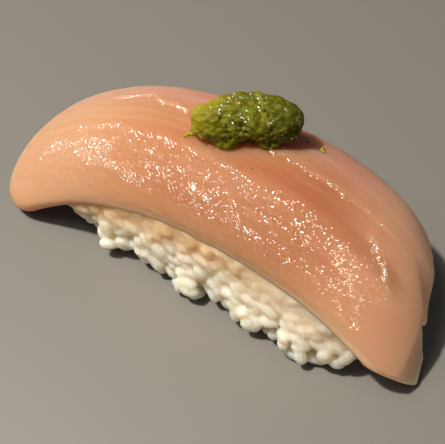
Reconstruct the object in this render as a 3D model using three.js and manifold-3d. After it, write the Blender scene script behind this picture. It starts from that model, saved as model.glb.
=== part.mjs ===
// Sea bream nigiri: a pressed block of cooked rice under a thick, draped slice of raw fish, with a dollop
// of coarse green paste on the crest of the slice.
//
// Units are millimetres and +Z is up. The rice stands on Z = 0, X runs along the slice towards the end
// that hangs lower, and Y runs across it, with the side that shows the rice at -Y. The origin is the middle
// of the whole piece in plan. Each of the three sub-parts is one closed body, and neighbours keep a gap
// of CLEARANCE between their faces.

import * as THREE from 'three';
import { mergeVertices } from 'three/addons/utils/BufferGeometryUtils.js';
import Module from 'manifold-3d';

const wasm = await Module();
wasm.setup();

// ---------------------------------------------------------------------------------------------------------
// Driving dimensions, in millimetres and degrees
// ---------------------------------------------------------------------------------------------------------

const CLEARANCE = 0.3;

// The slice is a flat cut, bent over the rice. Its crest is the top of its middle surface. Places across it
// are shares of its half width, from -1 at the near side to 1 at the far side.
const SLICE = {
  width: 33.8,
  thickness: 5.5,
  crestX: 2.533,
  crestY: 0.568,
  crestHeight: 27.5,
  nearDroop: 77, // how far the section turns down at the near edge
  farDroop: 54,
};

// The low end is parted in two lobes: the near one reaches further, and a notch lies between them.
const LOBES = {
  reach: 3.3,
  start: -0.26,
  span: 0.2,
  notchDepth: 1.7,
  notchPlace: -0.19,
  notchWidth: 0.065,
};

// Two flat bevels of the upper face at the low end, each falling by its slope from a straight crease. The
// crease lies at a distance along the cut on the middle line, and moves by lean for each mm across.
const BEVELS = {
  near: { crease: 44.2, lean: -0.57, slope: 0.38 },
  far: { crease: 40.8, lean: -1.58, slope: 0.12 },
  deepest: 1.9,
  fadeStart: -1, // the far bevel fades out between these distances across
  fadeStop: 7,
};

// Each arm runs from the crest to one end. turn is the slope at the end, reached as a power of the
// distance; relief straightens the tip again; skew makes the near side longer on the low end and shorter
// on the high end; lift raises the near side of the tip. A corner is taken off over a width across the
// slice and a depth along it, on a curve set by power and root.
const LOW_ARM = {
  length: 46.2,
  turn: 80,
  power: 1.59,
  relief: 0.23,
  skew: 7.3,
  taper: 0.08,
  shift: 0.8,
  flatten: 0.37,
  lift: 3.1,
  nearCorner: { wide: 6.8, deep: 12.5, power: 1.25, root: 1 },
  farCorner: { wide: 4.2, deep: 4, power: 2, root: 0.5 },
  rimSharpness: 70,
  rimPower: 0.3,
};
const HIGH_ARM = {
  length: 54.8,
  turn: 57.4,
  power: 1.05,
  relief: 0.2,
  skew: -1.8,
  taper: -0.06,
  shift: -1.2,
  flatten: 0.52,
  lift: -0.5,
  nearCorner: { wide: 9, deep: 9, power: 2, root: 0.5 },
  farCorner: { wide: 7.5, deep: 7.5, power: 2, root: 0.5 },
  rimSharpness: 24,
  rimPower: 0.5,
};

const SLICE_MESH = { along: 42, across: 20 };

// The rice block, from its flat foot to the slice that lies on it.
const RICE = {
  middleX: 3.593,
  length: 64,
  width: 23.4,
  footSkew: -0.035, // how far the foot strays to the near side for each mm along X
  squareness: 4.8, // exponent of the superellipse that gives the block its plan
  reachLow: 31, // how far the block runs up under each arm, along the slice
  reachHigh: 31.5,
  reachSide: 12.4,
  bulge: 0.6,
  undercut: 1.3, // how far the foot draws in under the wall
  undercutHeight: 2.4,
  around: 110,
  levels: 14,
  roofRings: 3,
};

const GRAIN = { length: 4.9, width: 3, thickness: 2.8 };

// Grains packed on the wall: how many in a row round the block, the height of a row, how far they scatter.
const PACKING = { perRow: 40, rowHeight: 2.3, scatterRound: 0.3, scatterUp: 0.25, turn: 80 };

// Grains that lean out from the near side: the middle, and the heading and rise of the long axis.
const LOOSE_GRAINS = [
  { middle: [-20.7, -11.86, 2.1], heading: 150, rise: 25 },
  { middle: [-19.7, -11.66, 1.3], heading: 40, rise: 10 },
  { middle: [-16.8, -11.16, 1.4], heading: 10, rise: 10 },
  { middle: [-4.4, -11.56, 1.3], heading: 20, rise: 10 },
  { middle: [-0.7, -11.76, 1.5], heading: 160, rise: 10 },
  { middle: [11.4, -12.06, 2.6], heading: 100, rise: 30 },
  { middle: [12.1, -12.46, 1.2], heading: 20, rise: 10 },
  { middle: [14.7, -11.96, 1.3], heading: 150, rise: 10 },
  { middle: [22.4, -12.86, 2.9], heading: 95, rise: 40 },
  { middle: [23.4, -13.46, 1.2], heading: 130, rise: 10 },
  { middle: [25.3, -12.76, 1.3], heading: 60, rise: 10 },
];

// The dollop is a ball stretched along its own length, seated on the crest. Bosses stand out of it, or
// draw in where their reach is negative: each has a direction from the middle, a reach and a spread.
const DOLLOP = {
  length: 20.1,
  width: 9.2,
  height: 9.3,
  middleX: 2.393,
  middleY: 3.988,
  middleUp: 3.25, // height of its middle above the top face of the slice
  heading: 32,
  broadening: 0.12, // the right end is thicker than the left
  bluntLeft: 0.58, // powers that square the ends off
  bluntRight: 0.73,
  ripple: 0.045,
  detail: 6,
};
const BOSSES = [
  { towards: [-0.28, -0.82, -0.5], reach: 0.06, spread: 0.3 }, // the two toes and the gap between them
  { towards: [0.42, -0.75, -0.5], reach: 0.08, spread: 0.25 },
  { towards: [0.02, -0.8, -0.6], reach: -0.15, spread: 0.22 },
  { towards: [-0.75, -0.45, 0.3], reach: 0.05, spread: 0.4 },
  { towards: [-0.8, 0.5, 0.3], reach: -0.06, spread: 0.4 },
  { towards: [-0.2, 0.4, 0.9], reach: 0.08, spread: 0.4 },
  { towards: [0.85, -0.3, -0.4], reach: 0.03, spread: 0.4 },
  { towards: [-0.9, -0.3, -0.3], reach: 0.045, spread: 0.35 },
];

const COLOURS = {
  rice: { color: 0xe6dcc3, roughness: 0.55, metalness: 0 },
  fish: { color: 0xd29368, roughness: 0.3, metalness: 0 },
  paste: { color: 0x6a6a1c, roughness: 0.45, metalness: 0 },
};

// ---------------------------------------------------------------------------------------------------------
// Small helpers
// ---------------------------------------------------------------------------------------------------------

const radians = THREE.MathUtils.degToRad;
const { clamp, smoothstep } = THREE.MathUtils;

/** A repeatable scatter between -1 and 1 for item number i and channel k. */
function scatter(i, k) {
  const wave = Math.sin(i * 12.9898 + k * 78.233) * 43758.5453;
  return 2 * (wave - Math.floor(wave)) - 1;
}

/** A geometry of bare positions whose shared vertices are merged and whose slivers are dropped. */
function weld(geometry) {
  const bare = new THREE.BufferGeometry();
  bare.setAttribute('position', geometry.getAttribute('position'));
  bare.setIndex(geometry.getIndex());
  const welded = mergeVertices(bare, 1e-4);
  const old = welded.getIndex().array;
  const kept = [];
  for (let i = 0; i < old.length; i += 3) {
    const [a, b, c] = [old[i], old[i + 1], old[i + 2]];
    if (a !== b && b !== c && c !== a) kept.push(a, b, c);
  }
  welded.setIndex(kept);
  return welded;
}

/** The closed geometry as a solid that can be joined and cut. */
function toSolid(geometry) {
  const welded = weld(geometry);
  return new wasm.Manifold(new wasm.Mesh({
    numProp: 3,
    vertProperties: new Float32Array(welded.getAttribute('position').array),
    triVerts: new Uint32Array(welded.getIndex().array),
  }));
}

/** The solid's triangles as a geometry with flat faces. */
function toGeometry(solid) {
  const mesh = solid.getMesh();
  const geometry = new THREE.BufferGeometry();
  geometry.setAttribute('position', new THREE.BufferAttribute(new Float32Array(mesh.vertProperties), 3));
  geometry.setIndex(new THREE.BufferAttribute(new Uint32Array(mesh.triVerts), 1));
  return geometry;
}

/** The largest single body of a solid, without crumbs that a cut has left loose. */
function largestBody(solid) {
  const bodies = solid.decompose();
  return bodies.reduce((best, body) => (body.volume() > best.volume() ? body : best));
}

/**
 * A closed geometry from two sheets of (columns + 1) x (rows + 1) points that meet along their rims.
 * pointAt(u, v, face) gives a point for u and v from -1 to 1, with face 1 for the upper sheet, -1 below.
 */
function pairedSheets(columns, rows, pointAt) {
  const positions = [];
  const index = [];
  for (const face of [1, -1]) {
    const first = positions.length / 3;
    for (let i = 0; i <= columns; i += 1) {
      for (let j = 0; j <= rows; j += 1) {
        const u = crowdedToRim((2 * i) / columns - 1);
        const v = crowdedToRim((2 * j) / rows - 1);
        positions.push(...pointAt(u, v, face).toArray());
      }
    }
    for (let i = 0; i < columns; i += 1) {
      for (let j = 0; j < rows; j += 1) {
        const a = first + i * (rows + 1) + j;
        const [b, c, d] = [a + rows + 1, a + rows + 2, a + 1];
        if (face > 0) index.push(a, b, c, a, c, d);
        else index.push(a, c, b, a, d, c);
      }
    }
  }
  const geometry = new THREE.BufferGeometry();
  geometry.setAttribute('position', new THREE.Float32BufferAttribute(positions, 3));
  geometry.setIndex(index);
  return geometry;
}

/** Moves even steps from -1 to 1 closer together near the rims, where the slice rounds over. */
function crowdedToRim(t) {
  const strength = 0.98 * Math.PI / 2;
  return Math.sin(t * strength) / Math.sin(strength);
}

// ---------------------------------------------------------------------------------------------------------
// The fish slice
// ---------------------------------------------------------------------------------------------------------

/** Walks down one arm in short straight steps and keeps how far it has run out and dropped. */
function bendTable(arm) {
  const steps = 200;
  const step = (1.3 * arm.length) / steps;
  const table = [{ run: 0, drop: 0, slope: 0 }];
  for (let i = 1; i <= steps; i += 1) {
    const share = (i * step) / arm.length;
    const slope = radians(arm.turn) * share ** arm.power * (1 - arm.relief * share ** 4);
    const last = table[i - 1];
    const run = last.run + ((Math.cos(slope) + Math.cos(last.slope)) / 2) * step;
    const drop = last.drop + ((Math.sin(slope) + Math.sin(last.slope)) / 2) * step;
    table.push({ run, drop, slope });
  }
  return { table, step };
}

const BENDS = new Map([LOW_ARM, HIGH_ARM].map((arm) => [arm, bendTable(arm)]));

/** Where an arm has got to after a distance along it, read between two lines of its table. */
function alongArm(arm, distance) {
  const { table, step } = BENDS.get(arm);
  const place = clamp(distance / step, 0, table.length - 1.001);
  const [before, after] = [table[Math.floor(place)], table[Math.floor(place) + 1]];
  const share = place - Math.floor(place);
  const between = (key) => before[key] + (after[key] - before[key]) * share;
  return { run: between('run'), drop: between('drop'), slope: between('slope') };
}

/**
 * The slice's middle surface: along is the distance from the crest down the slice, positive to the low
 * end, and across is the distance from its middle line, both measured on the flat cut.
 */
function middleSurface(along, across) {
  const arm = along >= 0 ? LOW_ARM : HIGH_ARM;
  const side = along >= 0 ? 1 : -1;
  const share = Math.abs(along) / arm.length;
  const { run, drop, slope } = alongArm(arm, Math.abs(along));
  const half = SLICE.width / 2;
  const eta = across / half;
  const fullDroop = radians(across < 0 ? SLICE.nearDroop : SLICE.farDroop);
  const droop = fullDroop * (1 - arm.flatten * share ** 2);
  const sag = (-(1 - Math.cos(droop * eta)) / droop) * half - arm.lift * eta * share ** 3;
  return new THREE.Vector3(
    SLICE.crestX + side * (run + Math.sin(slope) * sag),
    SLICE.crestY + (Math.sin(droop * eta) / droop) * half + arm.shift * share ** 2,
    SLICE.crestHeight - drop + Math.cos(slope) * sag,
  );
}

/** How much a corner takes off, for a share of the way from its start to the side of the slice. */
function cornerCut(corner, into) {
  return corner.deep * (1 - (1 - into ** corner.power) ** corner.root);
}

/** How far the lobes change the low end's reach at a place across it. */
function lobeReach(v) {
  const near = LOBES.reach * smoothstep((LOBES.start - v) / LOBES.span, 0, 1);
  return near - LOBES.notchDepth * Math.exp(-(((v - LOBES.notchPlace) / LOBES.notchWidth) ** 2));
}

/** The flat outline of the slice: a long strip with its corners off and a skewed, lobed low end. */
function flatPlan(u, v, grow) {
  const arm = u >= 0 ? LOW_ARM : HIGH_ARM;
  const side = u >= 0 ? 1 : -1;
  const half = SLICE.width / 2;
  const corner = v < 0 ? arm.nearCorner : arm.farCorner;
  const wide = corner.wide / half;
  const cut = cornerCut(corner, clamp((Math.abs(v) - 1 + wide) / wide, 0, 1));
  const lobes = u > 0 ? lobeReach(v) : 0;
  const along = u * (arm.length + grow) - u ** 4 * (side * cut + arm.skew * v - lobes);
  const across = v * (half + grow) * (1 - arm.taper * u * u);
  return { along, across, arm };
}

/** How far the bevels of the low end lower the upper face. */
function bevelDepth(along, across) {
  const near = across < (LOBES.notchPlace * SLICE.width) / 2;
  const { crease, lean, slope } = near ? BEVELS.near : BEVELS.far;
  const fade = near ? 1 : 1 - smoothstep(across, BEVELS.fadeStart, BEVELS.fadeStop);
  return Math.min(BEVELS.deepest, fade * slope * Math.max(0, along - crease - lean * across));
}

/** A point on the upper (face 1) or lower (face -1) side of the slice, swollen by grow. */
function slicePoint(u, v, face, grow = 0) {
  const { along, across, arm } = flatPlan(u, v, grow);
  const reach = 0.05;
  const lengthwise = middleSurface(along + reach, across).sub(middleSurface(along - reach, across));
  const crosswise = middleSurface(along, across + reach).sub(middleSurface(along, across - reach));
  const normal = new THREE.Vector3().crossVectors(lengthwise, crosswise).normalize();
  const endRounding = Math.max(0, 1 - Math.abs(u) ** arm.rimSharpness) ** arm.rimPower;
  const rounding = endRounding * Math.sqrt(Math.max(0, 1 - v ** 10));
  const bevel = face > 0 ? bevelDepth(along, across) : 0;
  return middleSurface(along, across)
    .addScaledVector(normal, face * rounding * (SLICE.thickness / 2 + grow - bevel));
}

function sliceGeometry(grow) {
  return pairedSheets(SLICE_MESH.along, SLICE_MESH.across, (u, v, face) => slicePoint(u, v, face, grow));
}

// ---------------------------------------------------------------------------------------------------------
// The rice block
// ---------------------------------------------------------------------------------------------------------

/** The plan of the block: a superellipse of unit half length and half width. */
function roundedSquare(angle) {
  const bend = (value) => Math.sign(value) * Math.abs(value) ** (2 / RICE.squareness);
  return { x: bend(Math.cos(angle)), y: bend(Math.sin(angle)) };
}

/** A point at the bottom of the wall, before the foot draws in. */
function wallFoot(angle) {
  const { x, y } = roundedSquare(angle);
  const alongX = (x * RICE.length) / 2;
  const acrossY = (y * RICE.width) / 2 + RICE.footSkew * alongX;
  return new THREE.Vector3(RICE.middleX + alongX, SLICE.crestY + acrossY, 0);
}

/** The level direction straight out of the wall. */
function outwardAt(angle) {
  const { x, y } = roundedSquare(angle);
  const steep = (value) => Math.sign(value) * Math.abs(value) ** (RICE.squareness - 1);
  return new THREE.Vector3(steep(x) * RICE.width, steep(y) * RICE.length, 0).normalize();
}

/** The place on the slice, along and across it, above an angle of the wall, a share of the way out. */
function roofPlace(angle, share) {
  const { x, y } = roundedSquare(angle);
  return [x * (x > 0 ? RICE.reachLow : RICE.reachHigh) * share, y * RICE.reachSide * share];
}

/** The distance walked along the foot's edge from angle 0, at each of many small steps of the angle. */
const EDGE_WALK = (() => {
  const steps = 1440;
  const walked = [0];
  for (let i = 1; i <= steps; i += 1) {
    const step = wallFoot((2 * Math.PI * i) / steps).distanceTo(wallFoot((2 * Math.PI * (i - 1)) / steps));
    walked.push(walked[i - 1] + step);
  }
  return walked;
})();

/** The angle that lies a share of the way round the foot's edge, so that even shares are even steps. */
function angleAtShare(share) {
  const steps = EDGE_WALK.length - 1;
  const target = (share - Math.floor(share)) * EDGE_WALK[steps];
  const after = EDGE_WALK.findIndex((walked) => walked > target);
  const between = (target - EDGE_WALK[after - 1]) / (EDGE_WALK[after] - EDGE_WALK[after - 1]);
  return (2 * Math.PI * (after - 1 + between)) / steps;
}

/**
 * The bare wall of the block, from level 0 at the foot to level 1 on the middle surface of the slice,
 * swelling outwards half way up.
 */
function bareWall(angle, level) {
  const top = middleSurface(...roofPlace(angle, 1));
  const wall = wallFoot(angle).lerp(top, level);
  const footDepth = Math.max(0, 1 - wall.z / RICE.undercutHeight) ** 2;
  const swell = RICE.bulge * Math.sin(Math.PI * level) - RICE.undercut * footDepth;
  return wall.addScaledVector(outwardAt(angle), swell);
}

/**
 * How far the packed grains stand out of the bare wall. Each cell of a staggered lattice holds one grain,
 * moved and turned a little, and the highest of the nine grains round a place counts there.
 */
function grainRelief(share, height) {
  const column = share * PACKING.perRow;
  const row = height / PACKING.rowHeight;
  const pitch = EDGE_WALK.at(-1) / PACKING.perRow;
  let relief = 0;
  for (let r = Math.floor(row) - 1; r <= Math.floor(row) + 1; r += 1) {
    for (let c = Math.floor(column) - 2; c <= Math.floor(column) + 1; c += 1) {
      const id = r * PACKING.perRow + ((c + PACKING.perRow) % PACKING.perRow);
      const stagger = 0.5 + (Math.abs(r) % 2) / 2;
      const across = (column - c - stagger - PACKING.scatterRound * scatter(id, 1)) * pitch;
      const up = (row - r - 0.5 - PACKING.scatterUp * scatter(id, 2)) * PACKING.rowHeight;
      const turn = radians(PACKING.turn * scatter(id, 3));
      const along = across * Math.cos(turn) + up * Math.sin(turn);
      const aside = up * Math.cos(turn) - across * Math.sin(turn);
      const out = 1 - ((2 * along) / GRAIN.length) ** 2 - ((2 * aside) / GRAIN.width) ** 2;
      const stand = (GRAIN.thickness / 2) * (1 + 0.25 * scatter(id, 4));
      if (out > 0) relief = Math.max(relief, stand * out ** 0.6);
    }
  }
  return relief;
}

/** The wall with its grains, a share of the way round. */
function grainedWall(share, level) {
  const angle = angleAtShare(share);
  const wall = bareWall(angle, level);
  return wall.addScaledVector(outwardAt(angle), grainRelief(share, wall.z));
}

/** The whole block before it is cut: a foot, the wall, and a roof that follows the slice. */
function riceBlock() {
  const rings = [];
  for (let k = 0; k <= RICE.levels; k += 1) {
    rings.push((share) => grainedWall(share, k / RICE.levels));
  }
  for (let k = 1; k < RICE.roofRings; k += 1) {
    const inward = 1 - k / RICE.roofRings;
    rings.push((share) => middleSurface(...roofPlace(angleAtShare(share), inward)));
  }
  const positions = [RICE.middleX, SLICE.crestY, 0];
  rings.forEach((ring) => {
    for (let i = 0; i < RICE.around; i += 1) positions.push(...ring(i / RICE.around).toArray());
  });
  positions.push(...middleSurface(0, 0).toArray());
  const last = positions.length / 3 - 1;
  const at = (ring, i) => 1 + ring * RICE.around + (i % RICE.around);
  const index = [];
  for (let i = 0; i < RICE.around; i += 1) {
    index.push(0, at(0, i + 1), at(0, i));
    for (let k = 0; k + 1 < rings.length; k += 1) {
      index.push(at(k, i), at(k, i + 1), at(k + 1, i + 1), at(k, i), at(k + 1, i + 1), at(k + 1, i));
    }
    index.push(at(rings.length - 1, i), at(rings.length - 1, i + 1), last);
  }
  const geometry = new THREE.BufferGeometry();
  geometry.setAttribute('position', new THREE.Float32BufferAttribute(positions, 3));
  geometry.setIndex(index);
  return toSolid(geometry);
}

/** The grains that lean out from the near side of the foot, each a low oval body. */
function looseGrains() {
  return LOOSE_GRAINS.map(({ middle, heading, rise }) => {
    const grain = new THREE.SphereGeometry(1, 9, 6).rotateZ(Math.PI / 2);
    grain.scale(GRAIN.length / 2, GRAIN.width / 2, GRAIN.thickness / 2);
    grain.rotateY(-radians(rise));
    grain.rotateZ(radians(heading));
    grain.translate(...middle);
    return toSolid(grain);
  });
}

/** A plain box that takes away everything below the foot. */
function belowFoot() {
  const depth = 20;
  const box = new THREE.BoxGeometry(200, 100, depth);
  box.translate(0, 0, -depth / 2);
  return toSolid(box);
}

function riceGeometry() {
  const block = wasm.Manifold.union([riceBlock(), ...looseGrains()]);
  const seated = block.subtract(belowFoot()).subtract(toSolid(sliceGeometry(CLEARANCE)));
  return toGeometry(largestBody(seated));
}

// ---------------------------------------------------------------------------------------------------------
// The green dollop
// ---------------------------------------------------------------------------------------------------------

/** How far the surface stands out in ripples and bosses, for a direction from the middle of the dollop. */
function relief(p) {
  const waves = Math.sin(5.1 * p.x + 1.7 * p.y + 0.6) * Math.cos(4.3 * p.y - 2.2 * p.z)
    + 0.7 * Math.sin(7.7 * p.z + 3.1 * p.x + 2.1) * Math.cos(6.1 * p.x - 1.9 * p.y + 0.4);
  return BOSSES.reduce((sum, { towards, reach, spread }) => {
    const far = p.distanceTo(new THREE.Vector3(...towards).normalize()) / spread;
    return sum + reach * Math.exp(-far * far);
  }, DOLLOP.ripple * waves);
}

function dollopGeometry() {
  const ball = new THREE.IcosahedronGeometry(1, DOLLOP.detail);
  const positions = ball.getAttribute('position');
  const p = new THREE.Vector3();
  for (let i = 0; i < positions.count; i += 1) {
    p.fromBufferAttribute(positions, i).normalize();
    const stand = 1 + relief(p);
    const girth = stand * (1 + DOLLOP.broadening * p.x);
    const bluntness = p.x < 0 ? DOLLOP.bluntLeft : DOLLOP.bluntRight;
    const endwise = Math.sign(p.x) * Math.abs(p.x) ** bluntness;
    p.set(endwise * stand * DOLLOP.length, p.y * girth * DOLLOP.width, p.z * girth * DOLLOP.height);
    positions.setXYZ(i, p.x / 2, p.y / 2, p.z / 2);
  }
  const seat = middleSurface(DOLLOP.middleX - SLICE.crestX, DOLLOP.middleY - SLICE.crestY);
  ball.rotateZ(radians(DOLLOP.heading));
  ball.translate(DOLLOP.middleX, DOLLOP.middleY, seat.z + SLICE.thickness / 2 + DOLLOP.middleUp);
  const seated = toSolid(ball).subtract(toSolid(sliceGeometry(CLEARANCE)));
  return toGeometry(largestBody(seated));
}

// ---------------------------------------------------------------------------------------------------------
// The whole piece
// ---------------------------------------------------------------------------------------------------------

function namedMesh(name, geometry, look) {
  const mesh = new THREE.Mesh(geometry, new THREE.MeshStandardMaterial(look));
  mesh.name = name;
  return mesh;
}

const nigiri = new THREE.Group();
nigiri.name = 'sea_bream_nigiri';
nigiri.add(namedMesh('rice_block', riceGeometry(), COLOURS.rice));
nigiri.add(namedMesh('fish_slice', weld(sliceGeometry(0)), COLOURS.fish));
nigiri.add(namedMesh('green_dollop', dollopGeometry(), COLOURS.paste));

export default nigiri;
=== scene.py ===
"""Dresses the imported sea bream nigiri: a draped slice of raw fish, a heap of rice grains and green paste.

Lengths are in millimetres inside the shape formulas and become metres when a mesh is made. X runs along
the slice to its low end, Y across it and Z up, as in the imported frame.
"""

import logging
import math
from dataclasses import dataclass
from enum import Enum
from typing import Any, Callable, Sequence

import bmesh
import bpy
import numpy as np
from mathutils import Matrix, Vector


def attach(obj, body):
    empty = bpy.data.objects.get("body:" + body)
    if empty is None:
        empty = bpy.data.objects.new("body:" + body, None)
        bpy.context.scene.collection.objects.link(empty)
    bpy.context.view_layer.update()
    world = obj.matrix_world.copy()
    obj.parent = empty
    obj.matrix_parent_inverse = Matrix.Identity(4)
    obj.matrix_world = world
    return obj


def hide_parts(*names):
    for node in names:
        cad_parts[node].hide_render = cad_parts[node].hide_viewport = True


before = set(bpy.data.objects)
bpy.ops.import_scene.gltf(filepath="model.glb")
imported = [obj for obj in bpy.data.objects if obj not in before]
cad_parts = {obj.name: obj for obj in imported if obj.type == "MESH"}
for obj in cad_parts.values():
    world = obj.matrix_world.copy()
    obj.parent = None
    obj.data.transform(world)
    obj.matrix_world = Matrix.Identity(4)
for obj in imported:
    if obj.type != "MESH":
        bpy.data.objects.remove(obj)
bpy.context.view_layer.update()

Array = np.ndarray
Colour = tuple[float, float, float, float]
Pair = tuple[float, float]
Triple = tuple[float, float, float]
Piece = bpy.types.Object
MM = 0.001
BODY = "root"
log = logging.getLogger("nigiri")


class Slot(Enum):
    """The record's material slots."""

    RAW_FISH = "raw_fish"
    COOKED_RICE = "cooked_rice"
    GREEN_PASTE = "grated_green_paste"


class Face(Enum):
    """A face of the slice, with the sign of the way from the middle surface to it."""

    UPPER = 1.0
    LOWER = -1.0


# --- Number helpers ---

HASH_SCALE = 43758.5453
ITEM_STEP, CHANNEL_STEP, SEED_STEP = 12.9898, 78.233, 17.31
AXIS_STEPS = (127.1, 311.7, 74.7)
TINY = 1e-12


def hashed(phase: Array) -> Array:
    """Repeatable scatter from -1 to 1: the fraction of a large sine wave of each phase."""
    wave = np.sin(phase) * HASH_SCALE
    return 2.0 * (wave - np.floor(wave)) - 1.0


def scatter(item: Array, channel: float) -> Array:
    """Repeatable scatter from -1 to 1 of item numbers, for one channel, or quantity, of the items."""
    return hashed(np.asarray(item) * ITEM_STEP + channel * CHANNEL_STEP)


def smooth_step(t: Array) -> Array:
    """Zero below 0, one above 1, and an even S curve between."""
    t = np.clip(t, 0.0, 1.0)
    return t * t * (3.0 - 2.0 * t)


def value_noise(points: Array, seed: int) -> Array:
    """Smooth noise from -1 to 1: random numbers at whole coordinates, blended by an S curve on each axis.

    Args:
        points: Coordinates, with the axes last. Two or three axes.
        seed: Which noise this is.

    Returns:
        The noise at each point.
    """
    base = np.floor(points)
    blend = smooth_step(points - base)
    axes = points.shape[-1]
    total = np.zeros(points.shape[:-1])
    for corner in range(2**axes):
        bits = np.array([(corner >> axis) & 1 for axis in range(axes)])
        share = np.where(bits == 1, blend, 1.0 - blend).prod(-1)
        total += share * hashed(((base + bits) * AXIS_STEPS[:axes]).sum(-1) + seed * SEED_STEP)
    return total


def unit(vectors: Array) -> Array:
    """The vectors at length 1."""
    return vectors / np.maximum(np.linalg.norm(vectors, axis=-1, keepdims=True), TINY)


@dataclass(frozen=True)
class Ripple:
    """Smooth noise over the flat cut: how strong it is, how fine along and across, its seed and its shift."""

    strength: float
    fineness: Pair
    seed: int
    shift: float = 0.0

    def at(self, flat: Array) -> Array:
        """The noise at flat places."""
        return self.strength * value_noise(flat * self.fineness + self.shift, self.seed)


# --- Mesh helpers ---

SMOOTHING = 0.5
SHARE_STEPS = 10
SLIVER = 0.002


@dataclass
class Surface:
    """Points in millimetres and the four-cornered faces that join them."""

    points: Array
    quads: Array

    @staticmethod
    def join(parts: Sequence["Surface"]) -> "Surface":
        """All the parts as one surface, with their points kept apart.

        Args:
            parts: The surfaces, in order.

        Returns:
            One surface.
        """
        starts = np.cumsum([0] + [len(part.points) for part in parts[:-1]])
        quads = [part.quads + start for part, start in zip(parts, starts)]
        return Surface(np.concatenate([part.points for part in parts]), np.concatenate(quads))


def grid_quads(rows: int, columns: int, closed: bool = False) -> Array:
    """Faces of a grid whose points are numbered row by row.

    Args:
        rows: Points along the first axis.
        columns: Points along the second axis.
        closed: Whether the second axis runs round and meets itself.

    Returns:
        Four point numbers for each face.
    """
    i = np.arange(rows - 1)[:, None]
    j = np.arange(columns if closed else columns - 1)[None, :]
    right = (j + 1) % columns
    corners = [i * columns + j, (i + 1) * columns + j, (i + 1) * columns + right, i * columns + right]
    return np.stack(np.broadcast_arrays(*corners), -1).reshape(-1, 4)


def round_ball(rings: int, around: int) -> Array:
    """Points of a unit ball in rings from its +X pole to its -X pole, ring by ring.

    Args:
        rings: Steps from pole to pole.
        around: Points of a ring.

    Returns:
        The points.
    """
    polar = np.linspace(0.0, math.pi, rings + 1)[:, None]
    turn = np.arange(around)[None, :] * 2.0 * math.pi / around
    ball = [np.cos(polar) + 0 * turn, np.sin(polar) * np.cos(turn), np.sin(polar) * np.sin(turn)]
    return np.stack(ball, -1).reshape(-1, 3)


def ball_quads(rings: int, around: int) -> Array:
    """Faces of such a ball, facing out."""
    return grid_quads(rings + 1, around, closed=True)[:, ::-1]


@dataclass(frozen=True)
class Oval:
    """The form of small oval bodies: balls fuller at one end, bent along their length and dented on one side.

    The bend, the fullness and the dent are shares of the half width and are scattered from body to body.
    The bend is measured from the given share of the length, and weaker by a factor across the thickness.
    """

    bend: float = 0.16
    bend_from: float = 0.3
    bend_thin: float = 0.75
    fullness: float = 0.1
    bluntness: float = 0.9
    dent: float = 0.14
    dent_wander: float = 0.3
    dent_spread: float = 0.1
    rings: int = 8
    around: int = 9

    def bodies(self, centres: Array, headings: Array, outs: Array, sizes: Array, seeds: Array) -> Surface:
        """Many such bodies, each stretched to its size, turned to its heading and moved to its centre.

        Args:
            centres: Middle of each body.
            headings: Direction of its long axis.
            outs: Direction that its flatter side faces.
            sizes: Length, width and thickness of each body.
            seeds: A number for each body that scatters its form.

        Returns:
            The joined surface.
        """
        fuller, aside, lifted, dented = (scatter(seeds, channel)[:, None] for channel in (11, 12, 13, 14))
        ball = round_ball(self.rings, self.around)[None]
        x = np.sign(ball[..., 0]) * np.abs(ball[..., 0]) ** self.bluntness
        full, bow = 1.0 + self.fullness * fuller * x, x**2 - self.bend_from
        y = ball[..., 1] * full + self.bend * aside * bow
        z = ball[..., 2] * full + self.bend_thin * self.bend * lifted * bow
        dent = self.dent * np.exp(-((x - self.dent_wander * dented) ** 2) / self.dent_spread)
        local = np.stack([np.broadcast_to(x, y.shape), y, z * (1.0 - dent)], -1) * (sizes / 2.0)[:, None, :]
        side = unit(np.cross(outs, headings))
        basis = np.stack([unit(np.cross(side, outs)), side, unit(outs)], 1)
        points = np.einsum("gpi,gij->gpj", local, basis) + centres[:, None, :]
        starts = np.arange(len(centres))[:, None, None] * ball.shape[1]
        quads = ball_quads(self.rings, self.around)[None] + starts
        return Surface(points.reshape(-1, 3), quads.reshape(-1, 4))


def make_object(name: str, surface: Surface) -> Piece:
    """Puts a surface into a new smooth-shaded mesh object at the origin.

    Args:
        name: The object's name.
        surface: Points in millimetres, and faces. A face that repeats a point becomes a triangle.

    Returns:
        The object, linked to the scene.
    """
    mesh = bpy.data.meshes.new(name)
    quads = surface.quads
    keep = np.roll(quads, -1, axis=1) != quads
    corners = quads[keep]
    mesh.vertices.add(len(surface.points))
    mesh.vertices.foreach_set("co", (surface.points * MM).astype(np.float32).ravel())
    mesh.loops.add(len(corners))
    mesh.loops.foreach_set("vertex_index", corners.astype(np.int32))
    mesh.polygons.add(len(quads))
    starts = np.concatenate([[0], np.cumsum(keep.sum(1))[:-1]])
    mesh.polygons.foreach_set("loop_start", starts.astype(np.int32))
    mesh.polygons.foreach_set("use_smooth", np.ones(len(quads), bool))
    mesh.update(calc_edges=True)
    mesh.validate()
    piece = bpy.data.objects.new(name, mesh)
    bpy.context.scene.collection.objects.link(piece)
    return piece


def set_attribute(piece: Piece, name: str, values: Array) -> None:
    """Keeps one number for each point of a piece, for its material to read."""
    attribute = piece.data.attributes.new(name, "FLOAT", "POINT")
    attribute.data.foreach_set("value", values.astype(np.float32).ravel())


def set_uv(piece: Piece, name: str, places: Array) -> None:
    """Keeps a flat place for each point of a piece as a UV map.

    Args:
        piece: The object.
        name: The map's name.
        places: Two numbers for each point.
    """
    loops = np.zeros(len(piece.data.loops), np.int32)
    piece.data.loops.foreach_get("vertex_index", loops)
    layer = piece.data.uv_layers.new(name=name)
    layer.data.foreach_set("uv", places[loops].astype(np.float32).ravel())


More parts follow.
